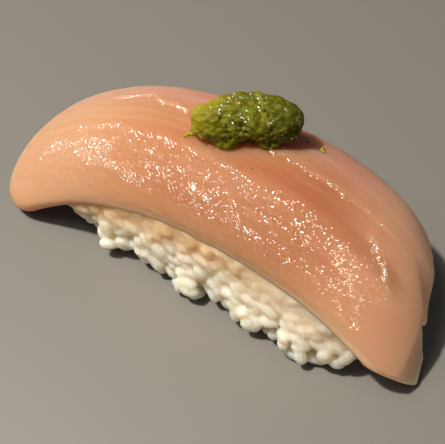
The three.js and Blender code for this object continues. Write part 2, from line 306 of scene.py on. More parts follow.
def point_array(piece: Piece) -> Array:
    """The piece's points in millimetres.

    Args:
        piece: The object.

    Returns:
        Three numbers for each point.
    """
    flat = np.zeros(len(piece.data.vertices) * 3, np.float32)
    piece.data.vertices.foreach_get("co", flat)
    return flat.reshape(-1, 3).astype(float) / MM


def keep_modifiers(piece: Piece) -> None:
    """Puts what a piece's modifiers make in place of its mesh.

    Args:
        piece: The object whose mesh is replaced.
    """
    depsgraph = bpy.context.evaluated_depsgraph_get()
    made = bpy.data.meshes.new_from_object(piece.evaluated_get(depsgraph))
    piece.modifiers.clear()
    piece.vertex_groups.clear()
    old = piece.data
    piece.data = made
    bpy.data.meshes.remove(old)


def add_smoothing(piece: Piece, rounds: int, group: str = "") -> None:
    """Adds even smoothing over some rounds, by the shares of a vertex group where one is named.

    Args:
        piece: The object.
        rounds: How many rounds.
        group: The name of the group, or nothing.
    """
    relax = piece.modifiers.new("relax", "SMOOTH")
    relax.factor = SMOOTHING
    relax.iterations = rounds
    relax.vertex_group = group


def fuse(piece: Piece, voxel: float, rounds: int, thinning: float = 1.0) -> None:
    """Fuses overlapping bodies of a mesh into one skin by voxels, then evens out the voxel steps.

    Args:
        piece: The object whose mesh is replaced.
        voxel: Edge of a voxel, in millimetres.
        rounds: How many rounds of smoothing follow.
        thinning: The share of the faces that is kept, with the fewest left where the skin is flat.
    """
    remesh = piece.modifiers.new("fuse", "REMESH")
    remesh.mode = "VOXEL"
    remesh.voxel_size = voxel * MM
    remesh.use_smooth_shade = True
    add_smoothing(piece, rounds)
    if thinning < 1.0:
        piece.modifiers.new("thin", "DECIMATE").ratio = thinning
    keep_modifiers(piece)


def soften(piece: Piece, shares: Array, rounds: int) -> None:
    """Evens out a mesh, each point by its own share, over some rounds, and keeps the result.

    Args:
        piece: The object whose mesh is replaced.
        shares: A share from 0 to 1 for each point.
        rounds: How many rounds.
    """
    group = piece.vertex_groups.new(name="soft")
    for step in range(1, SHARE_STEPS + 1):
        chosen = np.flatnonzero(np.round(shares * SHARE_STEPS) == step)
        if len(chosen):
            group.add(chosen.tolist(), step / SHARE_STEPS, "REPLACE")
    add_smoothing(piece, rounds, group.name)
    keep_modifiers(piece)


def shell_labels(mesh: bpy.types.Mesh) -> Array:
    """For each point, the lowest number that it can reach along edges, which the points of a shell share.

    Args:
        mesh: The mesh.

    Returns:
        One number for each point.
    """
    ends = np.zeros(len(mesh.edges) * 2, np.int32)
    mesh.edges.foreach_get("vertices", ends)
    ends = ends.reshape(-1, 2)
    label, reached = np.zeros(0, int), np.arange(len(mesh.vertices))
    while not np.array_equal(reached, label):
        label = reached
        lowest = label[ends].min(axis=1)
        reached = label.copy()
        np.minimum.at(reached, ends[:, 0], lowest)
        np.minimum.at(reached, ends[:, 1], lowest)
        reached = reached[reached]
    return label


def keep_main_shells(piece: Piece, fewest: int) -> None:
    """Drops slivers, folded flaps and small shells of a mesh, such as closed pores inside it.

    Args:
        piece: The object whose mesh is cleaned.
        fewest: The fewest points that a shell needs to stay.
    """
    mesh = piece.data
    skin = bmesh.new()
    skin.from_mesh(mesh)
    bmesh.ops.dissolve_degenerate(skin, dist=SLIVER * MM, edges=skin.edges)
    bmesh.ops.triangulate(skin, faces=skin.faces)
    # Where more than two faces share an edge, one folded onto another or hanging loose is a flap.
    flaps: dict[bmesh.types.BMFace, None] = {}
    for edge in [edge for edge in skin.edges if len(edge.link_faces) > 2]:
        corners = [frozenset(face.verts) for face in edge.link_faces]
        for face, own in zip(edge.link_faces, corners):
            if corners.count(own) > 1 or any(side.is_boundary for side in face.edges):
                flaps[face] = None
    bmesh.ops.delete(skin, geom=list(flaps), context="FACES")
    skin.to_mesh(mesh)
    label = shell_labels(mesh)
    small = np.flatnonzero(np.bincount(label, minlength=len(label))[label] < fewest)
    skin.verts.ensure_lookup_table()
    bmesh.ops.delete(skin, geom=[skin.verts[int(number)] for number in small], context="VERTS")
    skin.to_mesh(mesh)
    skin.free()
    mesh.polygons.foreach_set("use_smooth", np.ones(len(mesh.polygons), bool))


# --- Shader helpers ---


def rgba(red: float, green: float, blue: float) -> Colour:
    """A linear colour from its sRGB parts of 0 to 255.

    Args:
        red: Red part.
        green: Green part.
        blue: Blue part.

    Returns:
        Red, green, blue and alpha, from 0 to 1.
    """

    def linear(part: float) -> float:
        """One part by the sRGB curve: straight near black, a power above it."""
        share = part / 255.0
        return share / 12.92 if share <= 0.04045 else ((share + 0.055) / 1.055) ** 2.4

    return (linear(red), linear(green), linear(blue), 1.0)


class Field:
    """A shader socket that can be used in arithmetic, each operation adding its Math node."""

    def __init__(self, board: "Board", socket: bpy.types.NodeSocket) -> None:
        """Wraps an output socket of a node on the board."""
        self.board = board
        self.socket = socket

    def _math(self, operation: str, first: Any, second: Any) -> "Field":
        """Adds one Math node on two values or fields."""
        return self.board.read("ShaderNodeMath", {"operation": operation}, {0: first, 1: second})

    def __add__(self, other: Any) -> "Field":
        """self + other."""
        return self._math("ADD", self, other)

    __radd__ = __add__

    def __sub__(self, other: Any) -> "Field":
        """self - other."""
        return self._math("SUBTRACT", self, other)

    def __rsub__(self, other: Any) -> "Field":
        """other - self."""
        return self._math("SUBTRACT", other, self)

    def __mul__(self, other: Any) -> "Field":
        """self * other."""
        return self._math("MULTIPLY", self, other)

    __rmul__ = __mul__

    def ramp(self, low: float, high: float, start: float = 0.0, end: float = 1.0) -> "Field":
        """An S curve from start to end as self goes from low to high, flat outside."""
        sockets = {"Value": self, "From Min": low, "From Max": high, "To Min": start, "To Max": end}
        return self.board.read("ShaderNodeMapRange", {"interpolation_type": "SMOOTHSTEP"}, sockets)


class Board:
    """The node tree of one material."""

    def __init__(self, name: str) -> None:
        """Makes an empty material.

        Args:
            name: The material's name.
        """
        self.material = bpy.data.materials.new(name)
        self.material.use_nodes = True
        self.tree = self.material.node_tree
        self.tree.nodes.clear()

    def node(self, kind: str, settings: dict[str, Any], sockets: dict[Any, Any]) -> bpy.types.Node:
        """Adds a node.

        Args:
            kind: The node's type name.
            settings: Its own properties, set first.
            sockets: For each input, by name or number, a Field to link or a value to set.

        Returns:
            The new node.
        """
        made = self.tree.nodes.new(kind)
        for key, value in settings.items():
            setattr(made, key, value)
        for key, value in sockets.items():
            if isinstance(value, Field):
                self.tree.links.new(value.socket, made.inputs[key])
            else:
                made.inputs[key].default_value = value
        return made

    def read(self, kind: str, settings: dict[str, Any], sockets: dict[Any, Any], output: Any = 0) -> Field:
        """Adds a node and reads one of its outputs, by name or number."""
        return Field(self, self.node(kind, settings, sockets).outputs[output])

    def uv(self, name: str) -> Field:
        """The places kept in one of the piece's UV maps."""
        return self.read("ShaderNodeUVMap", {"uv_map": name}, {})

    def attribute(self, name: str) -> Field:
        """A number kept at each point of the piece."""
        return self.read("ShaderNodeAttribute", {"attribute_name": name}, {}, "Fac")

    def place(self) -> Field:
        """Object coordinates, in metres."""
        return self.read("ShaderNodeTexCoord", {}, {}, "Object")

    def axes(self, vector: Field) -> tuple[Field, ...]:
        """The three numbers of a vector."""
        made = self.node("ShaderNodeSeparateXYZ", {}, {0: vector})
        return tuple(Field(self, output) for output in made.outputs)

    def noise(self, vector: Field, scale: float, detail: float, rough: float) -> Field:
        """Noise about 0.5 of a vector."""
        sockets = {"Vector": vector, "Scale": scale, "Detail": detail, "Roughness": rough}
        return self.read("ShaderNodeTexNoise", {}, sockets)

    def fibres(self, flat: Field, fineness: Pair, detail: float, rough: float, turn: float = 0.0) -> Field:
        """Noise drawn out over a flat field: turned by degrees about Z, then so fine on each axis.

        Args:
            flat: The field.
            fineness: How fine on each axis.
            detail: How many finer layers it has.
            rough: How strong those are.
            turn: The turn, in degrees.

        Returns:
            The noise, about 0.5.
        """
        rotation = (0.0, 0.0, math.radians(turn))
        turned = self.read("ShaderNodeMapping", {}, {"Vector": flat, "Rotation": rotation})
        drawn = self.read("ShaderNodeMapping", {}, {"Vector": turned, "Scale": (*fineness, 1.0)})
        return self.noise(drawn, 1.0, detail, rough)

    def blend(self, share: Field | float, first: Any, second: Any) -> Field:
        """A colour that goes from the first to the second as the share goes from 0 to 1."""
        return self.read("ShaderNodeMix", {"data_type": "RGBA"}, {0: share, 6: first, 7: second}, 2)

    def layered(self, base: Any, *coats: tuple[Field, Any]) -> Field:
        """A base colour under coats, each a share and a colour.

        Args:
            base: The base colour.
            coats: The coats, from the lowest.

        Returns:
            The colour.
        """
        for share, tint in coats:
            base = self.blend(share, base, tint)
        return base

    def bump(self, height: Field, distance: float) -> Field:
        """The normal bent by a height of 0 to 1 that stands for a distance in metres."""
        return self.read("ShaderNodeBump", {}, {"Height": height, "Distance": distance, "Strength": 1.0})

    def principled(self, sockets: dict[Any, Any]) -> Field:
        """A Principled BSDF with these inputs."""
        return self.read("ShaderNodeBsdfPrincipled", {}, sockets)

    def finish(self, shader: Field) -> bpy.types.Material:
        """Links the shader to the output and hands over the material."""
        self.node("ShaderNodeOutputMaterial", {}, {0: shader})
        return self.material

    def beaded(self, body: Field, bead: Field, share: Field) -> bpy.types.Material:
        """The finished material: a body under beads of water by their share."""
        return self.finish(self.read("ShaderNodeMixShader", {}, {0: share, 1: body, 2: bead}))


def soaked(colour: Field, glow: Triple, weight: float = 1.0) -> dict[str, Any]:
    """Inputs of a body that light soaks into.

    Args:
        colour: Its base colour.
        glow: How far red, green and blue light goes, in millimetres.
        weight: The share of the light that goes in.

    Returns:
        The inputs by name.
    """
    inner = {"Subsurface Weight": weight, "Subsurface Radius": glow, "Subsurface Scale": MM}
    return {"Base Color": colour} | inner


def polish(roughness: float, specular: float, ior: float, normal: Field) -> dict[str, Any]:
    """Inputs of a body's gloss: its roughness, strength of mirror light, index of refraction and normal."""
    return {"Roughness": roughness, "Specular IOR Level": specular, "IOR": ior, "Normal": normal}


@dataclass(frozen=True)
class Grit:
    """Fine relief of a noise: how fine it is, how strong its finer layers are and its height in metres."""

    fineness: float
    rough: float
    height: float
    detail: float = 3.0

    def lay(self, board: Board, vector: Field) -> Field:
        """The normal of the grit over a vector."""
        return board.bump(board.noise(vector, self.fineness, self.detail, self.rough), self.height)


@dataclass(frozen=True)
class Patches:
    """The share of a body's cells that hold a bead: the least all over, and more in patches of a noise."""

    fineness: float
    edge: Pair
    more: float
    least: float = 0.06
    detail: float = 2.0
    rough: float = 0.6

    def lay(self, board: Board, vector: Field) -> Field:
        """The share over a vector."""
        noise = board.noise(vector, self.fineness, self.detail, self.rough)
        return noise.ramp(*self.edge) * self.more + self.least


@dataclass(frozen=True)
class Beads:
    """Tiny beads of water, one to a cell of a scattered pattern.

    A bead is a dome that falls as the square of the distance from its cell's point. The fall varies from
    bead to bead, and the bead ends a little inside the rim.
    """

    cells: float
    height: float
    fall: float
    fall_spread: float
    rim: float = 0.6
    rim_blur: float = 0.1
    threshold: float = 0.02

    def lay(self, board: Board, vector: Field, wet: Field, steep: Field | float = 1.0) -> tuple[Field, Field]:
        """Lays the beads over a vector.

        Args:
            board: The material's node tree.
            vector: What the pattern lies on.
            wet: The share of the cells that hold a bead.
            steep: A factor on the fall.

        Returns:
            The normal of the beads, and where they are.
        """
        pattern = board.node("ShaderNodeTexVoronoi", {}, {"Vector": vector, "Scale": self.cells})
        distance, lot = (Field(board, pattern.outputs[name]) for name in ("Distance", "Color"))
        lot_share, lot_size, _ = board.axes(lot)
        fall = distance * distance * steep * (lot_size * self.fall_spread + self.fall)
        inside = distance.ramp(self.rim, self.rim - self.rim_blur)
        return board.bump(1.0 - fall, self.height), (wet - lot_share).ramp(0.0, self.threshold) * inside


# --- The fish slice ---


@dataclass(frozen=True)
class Corner:
    """How a corner of the flat cut is taken off: how wide, how deep and with what curve."""

    wide: float
    deep: float
    power: float = 2.0
    root: float = 0.5

    def cut(self, into: Array) -> Array:
        """Depth taken off, for a share of 0 to 1 of the corner's width."""
        return self.deep * (1.0 - (1.0 - into**self.power) ** self.root)


@dataclass(frozen=True)
class Arm:
    """One arm of the bent slice, from its crest to an end.

    The arm turns down by the turn, in degrees, as a power of the distance, less the relief near its tip.
    Skew lengthens one side, taper narrows the tip, shift moves it across, flatten takes from its droop and
    lift raises its near side. The corners round its outline, and the rim's numbers round its edge.
    """

    length: float
    turn: float
    power: float
    relief: float
    skew: float
    taper: float
    shift: float
    flatten: float
    lift: float
    near: Corner
    far: Corner
    rim_sharpness: float
    rim_power: float


LOW_ARM = Arm(
    length=46.2, turn=80.0, power=1.59, relief=0.23, skew=7.3, taper=0.08, shift=0.8, flatten=0.37,
    lift=3.1, near=Corner(6.8, 12.5, 1.25, 1.0), far=Corner(4.2, 4.0), rim_sharpness=70.0, rim_power=0.3,
)
HIGH_ARM = Arm(
    length=54.8, turn=57.4, power=1.05, relief=0.2, skew=-1.8, taper=-0.06, shift=-1.2, flatten=0.52,
    lift=-0.5, near=Corner(9.0, 9.0), far=Corner(7.5, 7.5), rim_sharpness=24.0, rim_power=0.5,
)


@dataclass(frozen=True)
class Seam:
    """Where two muscle layers meet. Lengths in millimetres.

    The seam lies at a place across the slice, bowed outwards by so much at a distance from the crest, and
    runs from start to stop along it, fading over its ends. The far layer drops to the near one over the
    width and has died away behind within the decay. Pale is the strength of the line of fat on it, which
    lies a little behind it.
    """

    place: float
    drop: float
    width: float
    decay: float
    pale: float
    bow: float = 0.0
    start: float = -60.0
    stop: float = 60.0
    bow_at: float = 30.0
    ends: float = 8.0
    fat_behind: float = 0.3
    fat_width: float = 0.45

    def lay(self, along: Array, across: Array, fade: Array) -> tuple[Array, Array]:
        """Height of the layer behind the seam, and the strength of its line of fat.

        The layer rises by an S curve over the width and dies away behind it. The fat is a bell.

        Args:
            along: Distance along the flat cut.
            across: Distance across it, bent by noise.
            fade: Strength of the layer at each place.

        Returns:
            Height in millimetres, and strength from 0 to 1.
        """
        away = across - self.place - self.bow * (along / self.bow_at) ** 2
        inside = smooth_step((along - self.start) / self.ends) * smooth_step((self.stop - along) / self.ends)
        rise = smooth_step(away / self.width + 0.5) * np.exp(-np.maximum(away, 0.0) / self.decay)
        fat = np.exp(-(((away - self.fat_behind) / self.fat_width) ** 2))
        return self.drop * fade * inside * rise, self.pale * inside * fat


@dataclass(frozen=True)
class Streak:
    """A run of wet glitter through points on the flat cut, each a distance along and across.

    The line bends smoothly from point to point and wavers in two sine waves, each a depth, a rate and a
    phase. The wet runs along a low ridge that falls steeply to the near side.
    """

    points: tuple[Pair, ...]
    width: float
    wet: float
    ridge: float = 0.0
    rise: float = 0.9
    decay: float = 1.8
    ends: float = 3.0
    wavers: tuple[Triple, ...] = ((0.09, 1.9, 0.0), (0.13, 0.83, 1.0))

    def away(self, along: Array, across: Array) -> Array:
        """How far each place lies across from the line.

        Args:
            along: Distance along the flat cut.
            across: Distance across it.

        Returns:
            Distance in millimetres, negative on the near side.
        """
        places, lines = np.array(self.points).T
        number = np.clip(np.searchsorted(places, along) - 1, 0, len(places) - 2)
        share = smooth_step((along - places[number]) / (places[number + 1] - places[number]))
        away = across - (lines[number] + (lines[number + 1] - lines[number]) * share)
        for depth, rate, phase in self.wavers:
            away = away - depth * np.sin(along * rate + phase)
        return away

    def reach(self, along: Array, across: Array) -> Array:
        """How wet each place is: full on the line, fading as a bell over the width."""
        beyond = np.maximum(np.maximum(self.points[0][0] - along, along - self.points[-1][0]), 0.0)
        return self.wet * np.exp(-(self.away(along, across) ** 2 + beyond**2) / self.width**2)

    def height(self, along: Array, across: Array) -> Array:
        """Height of the ridge: an S curve over the rise, across the line, dying away behind it.

        Args:
            along: Distance along the flat cut.
            across: Distance across it.

        Returns:
            Height in millimetres.
        """
        away, (start, stop) = self.away(along, across), (self.points[0][0], self.points[-1][0])
        inside = smooth_step((along - start) / self.ends + 0.5)
        inside = inside * smooth_step((stop - along) / self.ends + 0.5)
        rise = smooth_step(away / self.rise + 0.5)
        return self.ridge * inside * rise * np.exp(-np.maximum(away, 0.0) / self.decay)


@dataclass
class FishSlice:
    """The draped slice: a flat oblique cut bent over the rice, with muscle ridges on its upper face."""

    width: float = 33.8
    thickness: float = 5.5
    crest: Triple = (2.533, 0.568, 27.5)
    near_droop: float = 77.0
    far_droop: float = 54.0
    table_reach: float = 1.3
    table_steps: int = 400
    lobe_reach: float = 3.6
    lobe_start: float = -0.18
    lobe_span: float = 0.12
    notch_depth: float = 2.4
    notch_place: float = -0.175
    notch_width: float = 0.05
    near_crease: Pair = (43.1, -0.46)
    near_slope: float = 0.35
    far_crease: Pair = (40.8, -1.58)
    far_slope: float = 0.17
    far_fade: Pair = (-1.0, 7.0)
    facet_depth: float = 1.9
    facet_edge: float = 0.12
    side_sharpness: int = 18
    # painted light: where the rim is lightened, at the low end and along the near side
    painted_rim_end: Pair = (0.982, 0.012)
    painted_rim_side: Pair = (0.88, 0.08)
    seams: tuple[Seam, ...] = (
        Seam(9.6, 0.07, 0.5, 2.2, 0.3),
        Seam(6.2, 0.08, 0.45, 2.0, 0.5, bow=0.3),
        Seam(1.7, 0.08, 0.5, 2.6, 0.5, bow=1.2, start=-14.0),
        Seam(0.3, 0.05, 0.4, 1.2, 0.6, stop=0.0),
        Seam(-1.6, 0.06, 0.4, 1.4, 0.5, stop=10.0),
        Seam(-4.2, 0.05, 0.6, 2.0, 0.3),
        Seam(-7.6, 0.06, 0.6, 1.8, 0.15),
        Seam(-10.2, 0.06, 0.6, 1.8, 0.1, start=-28.0, stop=22.0),
    )
    seam_wander: tuple[Ripple, ...] = (Ripple(0.45, (0.075, 0.04), 3), Ripple(0.16, (0.4, 0.1), 4))
    seam_strength: float = 0.6
    seam_most: float = 1.3
    seam_fade: Ripple = Ripple(0.7, (0.13, 0.02), 20)
    waves: tuple[Ripple, ...] = (
        Ripple(0.1, (0.1, 0.16), 5),
        Ripple(0.03, (0.3, 1.3), 7),
        Ripple(0.015, (0.6, 2.6), 8, 13.7),
    )
    streaks: tuple[Streak, ...] = (
        Streak(((-31.0, 3.6), (-26.0, 4.0), (-23.5, 4.9), (-18.0, 3.3), (-12.5, 2.6)), 0.45, 1.0, 0.55),
        Streak(((-46.0, 2.4), (-38.0, 3.0), (-31.0, 3.6)), 0.4, 0.2, 0.16),
        Streak(((4.0, 1.5), (8.0, 1.6), (13.0, 1.7), (20.0, 1.9)), 0.3, 0.75, 0.34),
        Streak(((20.0, 1.9), (31.0, 2.5)), 0.3, 0.45, 0.14),
        Streak(((-44.0, -4.6), (-34.0, -4.0), (-28.0, -3.9)), 0.5, 0.7, 0.2),
        Streak(((-28.0, -3.9), (-25.0, -3.4), (-22.5, -3.6)), 0.55, 1.0, 0.4),
        Streak(((-22.0, -3.8), (-16.0, -3.9), (-6.0, -4.3)), 0.4, 0.55, 0.1),
        Streak(((-6.0, -4.3), (2.0, -4.2), (18.0, -4.2)), 0.4, 0.35),
        Streak(((-42.0, -7.6), (-38.0, -7.4), (-30.0, -7.6), (-24.0, -8.6)), 1.1, 0.8, 0.16),
        Streak(((-36.0, -6.6), (-30.0, -6.6), (-23.0, -6.8)), 0.8, 0.9, 0.2),
        Streak(((-24.0, -8.6), (-21.0, -9.8), (-17.0, -10.6), (-14.0, -10.6)), 0.8, 0.65, 0.12),
        Streak(((-10.0, -8.5), (-4.0, -9.2), (2.0, -10.1), (7.0, -10.6), (12.0, -11.2)), 0.8, 0.3),
        Streak(((-3.0, -9.2), (0.0, -9.7), (2.5, -10.1)), 0.75, 1.0, 0.16),
        Streak(((26.8, -1.1), (30.0, -2.4), (34.0, -4.4)), 0.6, 1.0, 0.45),
        Streak(((34.0, -4.4), (37.5, -7.2)), 0.5, 0.45),
        Streak(((17.0, -4.6), (22.0, -5.6), (27.0, -7.2), (32.0, -9.2), (36.0, -11.8)), 0.9, 0.5),
        Streak(((13.0, 6.6), (24.0, 7.2)), 0.7, 0.15),
        Streak(((26.0, 8.4), (37.0, 8.5)), 0.4, 0.2),
    )
    columns: int = 300
    rows: int = 140
    crowding: float = 0.45
    crowding_reach: float = 0.98

    def arm_table(self, arm: Arm) -> tuple[Array, Array, Array, Array]:
        """Distance along an arm, and the run, drop and slope reached there.

        The slope grows as a power of the distance and is eased off near the tip; run and drop are the sums
        of its cosine and sine over small steps.

        Args:
            arm: The arm.

        Returns:
            Four tables of one length.
        """
        distance = np.linspace(0.0, self.table_reach * arm.length, self.table_steps)
        share = distance / arm.length
        slope = np.radians(arm.turn) * share**arm.power * (1.0 - arm.relief * share**4)
        step = distance[1] - distance[0]

        def summed(part: Array) -> Array:
            """The running sum of a quantity, from 0."""
            return np.concatenate([[0.0], np.cumsum((part[1:] + part[:-1]) / 2.0 * step)])

        return distance, summed(np.cos(slope)), summed(np.sin(slope)), slope

    def middle(self, along: Array, across: Array) -> Array:
        """The middle surface at a distance along and across the flat cut.

        The spine follows the arm's table. Across it, the section is an arc whose end angle is the droop,
        less towards the tips; a lift raises the near side of the low tip.

        Args:
            along: Distance along the flat cut.
            across: Distance across it.

        Returns:
            Points in millimetres.
        """
        distance, half = np.abs(along), self.width / 2.0
        eta = across / half
        full = np.radians(np.where(across < 0.0, self.near_droop, self.far_droop))
        results = []
        for arm, side in ((LOW_ARM, 1.0), (HIGH_ARM, -1.0)):
            table, *columns = self.arm_table(arm)
            run, drop, slope = (np.interp(distance, table, column) for column in columns)
            share = distance / arm.length
            droop = full * (1.0 - arm.flatten * share**2)
            sag = -(1.0 - np.cos(droop * eta)) / droop * half - arm.lift * eta * share**3
            x = self.crest[0] + side * (run + np.sin(slope) * sag)
            y = self.crest[1] + np.sin(droop * eta) / droop * half + arm.shift * share**2
            z = self.crest[2] - drop + np.cos(slope) * sag
            results.append(np.stack([x, y, z], -1))
        return np.where((along >= 0.0)[..., None], results[0], results[1])

    @staticmethod
    def by_end(u: Array, pick: Callable[[Arm], float]) -> Array:
        """A quantity of the arm that each place lies on."""
        return np.where(u >= 0.0, pick(LOW_ARM), pick(HIGH_ARM))

    def plan(self, u: Array, v: Array) -> tuple[Array, Array]:
        """Distances along and across the flat cut for u and v from -1 to 1.

        The outline is a strip with round corners. Its low end is skewed so that the near side is longer,
        and a notch parts it in two lobes.

        Args:
            u: Share of the way from the crest to the ends, -1 to 1.
            v: Share of the way from the middle line to the sides, -1 to 1.

        Returns:
            Distance along and distance across.
        """
        half = self.width / 2.0
        corner_cut = np.zeros(np.broadcast(u, v).shape)
        for arm, end in ((LOW_ARM, u >= 0.0), (HIGH_ARM, u < 0.0)):
            for corner, side in ((arm.near, v < 0.0), (arm.far, v >= 0.0)):
                into = np.clip((np.abs(v) - 1.0 + corner.wide / half) / (corner.wide / half), 0.0, 1.0)
                corner_cut = np.where(end & side, np.sign(u) * corner.cut(into), corner_cut)
        notch = self.notch_depth * np.exp(-(((v - self.notch_place) / self.notch_width) ** 2))
        lobe = self.lobe_reach * smooth_step((self.lobe_start - v) / self.lobe_span)
        low_end = corner_cut + self.by_end(u, lambda arm: arm.skew) * v + np.where(u > 0.0, notch - lobe, 0.0)
        along = u * self.by_end(u, lambda arm: arm.length) - u**4 * low_end
        return along, v * half * (1.0 - self.by_end(u, lambda arm: arm.taper) * u * u)

    def layers(self, along: Array, across: Array) -> tuple[Array, Array]:
        """Muscle layers of the upper face, each stepping down towards the near side at its seam.

        A seam keeps its place across the slice, bent by uneven noise. Noise along it lets it fade in and out.

        Args:
            along: Distance along the flat cut.
            across: Distance across it.

        Returns:
            Height in millimetres, and a mask from 0 to 1 of the pale line on each seam.
        """
        flat = np.stack([along, across], -1)
        bent = across + sum(ripple.at(flat) for ripple in self.seam_wander)
        height, line = np.zeros_like(along), np.zeros_like(along)
        for number, seam in enumerate(self.seams):
            ripple = self.seam_fade
            noise = Ripple(ripple.strength, ripple.fineness, ripple.seed + number).at(flat)
            layer, fat = seam.lay(along, bent, np.clip(self.seam_strength + noise, 0.0, self.seam_most))
            height += layer
            line += fat
        return height, np.clip(line, 0.0, 1.0)

    def ridge_height(self, along: Array, across: Array) -> Array:
        """Relief of the upper face: the layers and wet ridges, low waves and a grain drawn out lengthwise.

        Args:
            along: Distance along the flat cut.
            across: Distance across it.

        Returns:
            Height in millimetres.
        """
        flat = np.stack([along, across], -1)
        height = self.layers(along, across)[0] + sum(streak.height(along, across) for streak in self.streaks)
        return height + sum(ripple.at(flat) for ripple in self.waves)

    def facet(self, along: Array, across: Array) -> Array:
        """Depth of the two flat bevels of the low end, in millimetres.

        Each bevel falls evenly from a straight crease towards the rim: one on the near lobe, and a shallow
        one behind the notch that fades out towards the far side.

        Args:
            along: Distance along the flat cut.
            across: Distance across it.

        Returns:
            Depth in millimetres.
        """
        near = self.near_slope * np.maximum(along - self.near_crease[0] - self.near_crease[1] * across, 0.0)
        far = self.far_slope * np.maximum(along - self.far_crease[0] - self.far_crease[1] * across, 0.0)
        start, stop = self.far_fade
        far = far * (1.0 - smooth_step((across - start) / (stop - start)))
        return np.where(across < self.notch_place * self.width / 2.0, near, far)

    def axes_at(self, along: Array, across: Array, reach: float = 0.05) -> tuple[Array, Array]:
        """Directions along and across the middle surface, from places a reach apart.

        Args:
            along: Distance along the flat cut.
            across: Distance across it.
            reach: How far to each side the places lie.

        Returns:
            Unit vectors along and across.
        """
        lengthwise = unit(self.middle(along + reach, across) - self.middle(along - reach, across))
        crosswise = unit(self.middle(along, across + reach) - self.middle(along, across - reach))
        return lengthwise, crosswise

    def skin(self, u: Array, v: Array, face: Face) -> tuple[Array, Array, Array]:
        """Points of one face of the slice.

        The face lies half a thickness off the middle surface, less towards the rims, where both faces meet
        in a round edge. At the low end the upper face is bevelled down to the rim.

        Args:
            u: Share of the way from the crest to the ends, -1 to 1.
            v: Share of the way from the middle line to the sides, -1 to 1.
            face: Which face.

        Returns:
            Points, distance along and distance across.
        """
        along, across = self.plan(u, v)
        normal = unit(np.cross(*self.axes_at(along, across)))
        sharpness = self.by_end(u, lambda arm: arm.rim_sharpness)
        power = self.by_end(u, lambda arm: arm.rim_power)
        end_rounding = np.maximum(0.0, 1.0 - np.abs(u) ** sharpness) ** power
        rounding = end_rounding * np.sqrt(np.maximum(0.0, 1.0 - v**self.side_sharpness))
        lift = self.thickness / 2.0 * rounding
        if face is Face.UPPER:
            lift = lift - np.minimum(self.facet(along, across), self.facet_depth) * rounding
            lift = lift + self.ridge_height(along, across) * rounding**2
        return self.middle(along, across) + normal * (face.value * lift)[..., None], along, across

    def crowded(self, steps: int) -> Array:
        """Steps from -1 to 1 that lie closer together near the rims: even steps blended with a sine of them.

        Args:
            steps: How many steps.

        Returns:
            The places of the steps and both ends.
        """
        even = np.linspace(-1.0, 1.0, steps + 1)
        strength = self.crowding_reach * math.pi / 2.0
        return (1.0 - self.crowding) * even + self.crowding * np.sin(even * strength) / math.sin(strength)

    def masks(self, u: Array, v: Array, along: Array, across: Array) -> dict[str, Array]:
        """What the finish reads at each point of the upper face, each a share from 0 to 1 by name.

        Args:
            u: Share of the way from the crest to the ends, -1 to 1.
            v: Share of the way from the middle line to the sides, -1 to 1.
            along: Distance along the flat cut.
            across: Distance across it.

        Returns:
            The masks by name.
        """
        end, side = ((start, span) for start, span in (self.painted_rim_end, self.painted_rim_side))
        # painted light: the rim mask, where the colour is lightened at the low end and the near side
        rim = np.maximum(smooth_step((u - end[0]) / end[1]), smooth_step((-v - side[0]) / side[1]))
        return {
            "pale_line": self.layers(along, across)[1],
            "wet": np.max([streak.reach(along, across) for streak in self.streaks], axis=0),
            "facet": smooth_step(self.facet(along, across) / self.facet_edge),
            "rim": rim,
            "upper": np.ones(u.shape),
        }

    def build(self) -> Piece:
        """Makes the slice: two sheets that share their rim, with the masks that its finish reads.

        Returns:
            The slice.
        """
        u, v = np.meshgrid(self.crowded(self.columns), self.crowded(self.rows), indexing="ij")
        upper, along, across = self.skin(u, v, Face.UPPER)
        lower = self.skin(u, v, Face.LOWER)[0]
        quads = grid_quads(self.columns + 1, self.rows + 1)
        inner = np.zeros(u.shape, bool)
        inner[1:-1, 1:-1] = True
        numbers = np.arange(u.size).reshape(u.shape)
        lower_numbers = np.where(inner, np.cumsum(inner.ravel()).reshape(u.shape) - 1 + u.size, numbers)
        points = np.concatenate([upper.reshape(-1, 3), lower[inner]])
        lower_quads = lower_numbers.ravel()[quads][:, ::-1]
        piece = make_object("raw_fish_slice", Surface(points, np.concatenate([quads, lower_quads])))
        flat = np.stack([along, across], -1)
        set_uv(piece, "flat_cut", np.concatenate([flat.reshape(-1, 2), flat[inner]]))
        for name, mask in self.masks(u, v, along, across).items():
            set_attribute(piece, name, np.concatenate([mask.ravel(), np.zeros(int(inner.sum()))]))
        return piece

    def dress(self) -> Piece:
        """Builds the slice, gives it its finish and sets it in the frame."""
        return settle(self.build(), RawFish().material(), Slot.RAW_FISH, "fish_slice")


